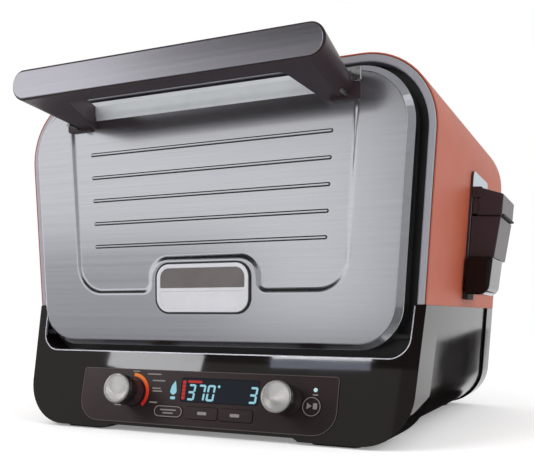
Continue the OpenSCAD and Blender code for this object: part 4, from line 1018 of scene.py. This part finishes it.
def pellet_basket():
    """A thin cup that follows the hopper's slope."""
    ends = SMOKE_WALL + BASKET_GAP
    bm = cup(SMOKE_BACK + SMOKE_WALL + BASKET_BACK, SMOKE_LOW_REACH - ends,
             SMOKE_REACH - SMOKE_WALL - BASKET_TOP_GAP, HOPPER_Z0 + SMOKE_WALL + BASKET_UP,
             HOPPER_Z1 - BASKET_DROP, SMOKE_Y0 + ends, SMOKE_Y1 - ends, BASKET_T)
    piece("pellet_basket_cup", bm, "oven_body", slot_of["pellet_basket"], [FINISHES["bright_metal"]],
          ("pellet_basket",), SIDE, edge=0.3)


door_skin()
front_rim()
outer_shell()
handle_body()
handle_fittings()
lip = opening_lip()
door_badge()
knobs = [knob_cap("function", "function_dial"), knob_cap("time", "time_dial")]
control_marks()
smoke_box()
smoke_lid()
pellet_basket()

# Soft edges, which get a third segment when they are wide
EDGE, WIDE_EDGE = 0.3, 1.0
EDGES = {"front_fascia": 1.0, "base_housing": 0.6, "rear_base_cover": 1.2, "pizza_stone": 2.0,
         "control_panel": 0.5, "feet": 1.0}
HIDDEN_INSIDE = {"insulation_blanket", "door_insulation", "control_board", "power_board",
                 "function_switch", "time_encoder", "handle_screws"}
# The hinges take the dark rubber as painted shade, so they read as the dark gap at the door's corners;
# the other finishes are the parts' own
OTHER_FINISH_AND_SHADE = {"hinge_pins": "rubber", "hinge_brackets": "rubber", "door_hinge_blocks": "rubber",
                "smoke_lid_pin": "dark_enamel", "base_housing": "base_black",
                "rear_base_cover": "base_black"}
dressed = {}
for node in nodes:
    if node in replaced:
        continue
    if node in HIDDEN_INSIDE:
        nodes[node].data.materials.clear()
        nodes[node].data.materials.append(FINISHES[slot_of[node]])
    else:
        edge = EDGES.get(node, EDGE)
        dressed[node] = dress(node, OTHER_FINISH_AND_SHADE.get(node), edge=edge,
                              segments=3 if edge > WIDE_EDGE else 2)


# Camera, light and floor
CAMERA_AT = (0.38674, -0.87755, 0.12955)
CAMERA_YAW, CAMERA_PITCH, CAMERA_ROLL = 0.43507, -0.07006, 0.00328
CAMERA = dict(lens=51.21733, sensor_width=36.0, shift_x=-0.0004, shift_y=0.2512)


def camera():
    """A camera at the photograph's place, found from the body's edges."""
    obj = linked("camera", adjust(bpy.data.cameras.new("camera"), **CAMERA))
    obj.matrix_world = (Matrix.Translation(CAMERA_AT) @ Matrix.Rotation(CAMERA_YAW, 4, "Z")
                        @ Matrix.Rotation(math.pi / 2 + CAMERA_PITCH, 4, "X")
                        @ Matrix.Rotation(CAMERA_ROLL, 4, "Z"))
    bpy.context.scene.camera = obj


def softbox(name, place, target, size, power, colour=(1, 1, 1), only=(), roll=0.0):
    """A soft lamp, for the whole part or for some pieces only."""
    data = bpy.data.lights.new(name, "AREA")
    data.shape = "RECTANGLE"
    data.size, data.size_y = size
    data.energy = power
    obj = linked(name, data)
    aim = (Vector(target) - Vector(place)).to_track_quat("-Z", "Y").to_matrix().to_4x4()
    obj.matrix_world = Matrix.Translation(place) @ aim @ Matrix.Rotation(roll, 4, "Z")
    obj.visible_camera = False
    obj.visible_glossy = bool(only)
    data.color = colour
    if only:
        receivers = bpy.data.collections.new(name + "_receivers")
        for receiver in only:
            receivers.objects.link(receiver)
        obj.light_linking.receiver_collection = receivers


def seen(tree):
    """One for rays of the camera and of reflections, and zero for those that light the part."""
    path = tree.nodes.new("ShaderNodeLightPath")
    either = path.outputs["Is Camera Ray"]
    for ray in ("Is Glossy Ray", "Is Transmission Ray"):
        either = joined(tree, "ShaderNodeMath", "MAXIMUM", either, path.outputs[ray])
    return either


WORLD_LIGHT = 0.8
FLOOR_SIZE, FLOOR_LIFT, FLOOR_CLOUD = 6.0, 0.24, 300.0
FLOOR_TONES = [(0.2, (0.93, 0.93, 0.93)), (0.8, (0.95, 0.95, 0.95))]


def world():
    """A white studio that lights the part a little less than it is seen."""
    studio = bpy.data.worlds.new("studio")
    bpy.context.scene.world = studio
    studio.use_nodes = True
    tree = studio.node_tree
    level = tree.nodes.new("ShaderNodeMapRange")
    level.inputs["To Min"].default_value = WORLD_LIGHT
    tree.links.new(seen(tree), level.inputs["Value"])
    inputs = tree.nodes["Background"].inputs
    inputs["Color"].default_value = (1, 1, 1, 1)
    tree.links.new(level.outputs["Result"], inputs["Strength"])


def floor():
    """White paper whose own light is seen but falls on nothing."""
    bm = bmesh.new()
    bmesh.ops.create_grid(bm, x_segments=1, y_segments=1, size=FLOOR_SIZE)
    mesh = mesh_of("floor", bm)
    finish = Finish("floor_paper", Roughness=0.9, Specular_IOR_Level=0.0, Emission_Color=(1, 1, 1, 1))
    tone = finish.ramp(finish.noise(FLOOR_CLOUD), FLOOR_TONES)
    lift = finish.span(seen(finish.tree), 0.0, FLOOR_LIFT, 0.0, 1.0)
    mesh.materials.append(finish.put(Base_Color=tone, Emission_Strength=lift))
    obj = linked("floor", mesh)


CARD_BLUE = 1.03


def card(name, corners, level):
    """A plain card of the studio, seen only in reflections."""
    bm = bmesh.new()
    bm.faces.new([bm.verts.new(corner) for corner in corners])
    mesh = mesh_of(name, bm)
    finish = Finish(name + "_paper", Roughness=1.0, Specular_IOR_Level=0.0, Base_Color=(0, 0, 0, 1))
    tone = (level, level, level * CARD_BLUE, 1)
    mesh.materials.append(finish.put(Emission_Color=tone, Emission_Strength=1.0))
    obj = linked(name, mesh)
    obj.visible_camera = obj.visible_diffuse = obj.visible_shadow = obj.visible_transmission = False


def upright_card(y, *ends):
    return [(x, y, z) for x, z in rectangle(*ends)]


def level_card(x0, y0, x1, y1, z):
    return [(x, y, z) for x, y in rectangle(x0, y0, x1, y1)]


AT_PART, AT_FASCIA, AT_PANEL = (0, 0, 0.2), (0, -0.17, 0.08), (-0.12, -0.17, 0.07)
WHITE, COOL, BLUE = (1, 1, 1), (0.96, 0.97, 1.0), (0.72, 0.8, 1.0)
STRIP_ROLL = 0.14
fascia = [dressed["front_fascia"], lip]
keys = [dressed[key + "_button"] for key in ("smoke", "temp", "time", "start")]
panel = [dressed["control_panel"], *keys]
# Each lamp's place, aim, size and power, then its tint, the only pieces that it lights and its roll
LAMPS = {
    "key_light": ((-1.0, -1.6, 1.5), AT_PART, (1.2, 0.9), 16),
    "fill_light": ((1.8, -0.6, 1.2), AT_PART, (1.0, 1.0), 10),
    "strip_left": ((-1.66, -2.4, 1.02), AT_FASCIA, (0.44, 0.17), 5.1, COOL, fascia),
    "strip_right": ((-0.81, -2.4, 1.083), AT_FASCIA, (0.44, 0.06), 3.5, COOL, fascia, STRIP_ROLL),
    "strip_right_low": ((-0.81, -2.4, 1.028), AT_FASCIA, (0.44, 0.045), 0.52, BLUE, fascia, STRIP_ROLL),
    "panel_sheen": ((-0.36, -0.42, 0.3), AT_PANEL, (0.2, 0.2), 1.6, WHITE, panel),
    "knob_glint": ((-1.5, -2.2, 1.6), AT_FASCIA, (0.3, 0.3), 6.0, WHITE, knobs),
}
# The cards' planes and edges: far ahead, the part's side, just over the floor
AHEAD_Y, SIDE_X, FLAG_Z = -2.6, 0.205, 0.0015
FLAG_NEAR = [(SIDE_X, -0.12), (0.3275, 0.45), (0.4, 0.8), (0.33, 0.8), (0.2515, 0.45), (SIDE_X, 0.2085)]
# Each card's corners and brightness
CARDS = {
    "card_ahead": (upright_card(AHEAD_Y, -0.5, 0.0, 1.4, 1.1), 0.48),
    "card_above_ahead": (upright_card(AHEAD_Y, -1.65, 1.1, 1.4, 2.2), 0.17),
    "flag_above_ahead": (upright_card(AHEAD_Y + 0.01, -1.1, 1.1, 0.4, 1.7), 0.03),
    "card_low_left": (upright_card(AHEAD_Y, -3.2, 0.0, -1.2, 0.5), 0.5),
    "card_right": ([(2.0, y, z) for y, z in rectangle(-1.8, 0.0, 1.0, 1.6)], 0.42),
    "card_above": (level_card(-3.5, -3.5, 2.0, 1.2, 2.2), 0.4),
    "flag_side": ([(0.2525, 0.45, 0.001), (0.3275, 0.45, 0.001), (0.3275, 0.45, 0.07),
                   (0.2525, 0.45, 0.105)], 0.004),
    "flag_near": ([(x, y, FLAG_Z) for x, y in FLAG_NEAR], 0.004),
    "flag_high": (level_card(-2.2, -2.3, 0.2, -0.6, 1.5), 0.02),
    "flag_floor_left": (level_card(-4, -4, SIDE_X, -0.19, FLAG_Z), 0.3),
    "flag_floor_right": (level_card(SIDE_X, -4, 4, -0.19, FLAG_Z), 0.16),
    "flag_under": (level_card(-0.24, -0.19, 0.222, 0.26, 0.0013), 0.01),
}

camera()
world()
floor()
for name, values in LAMPS.items():
    softbox(name, *values)
for name, values in CARDS.items():
    card(name, *values)
bpy.context.scene.view_settings.view_transform = "Standard"
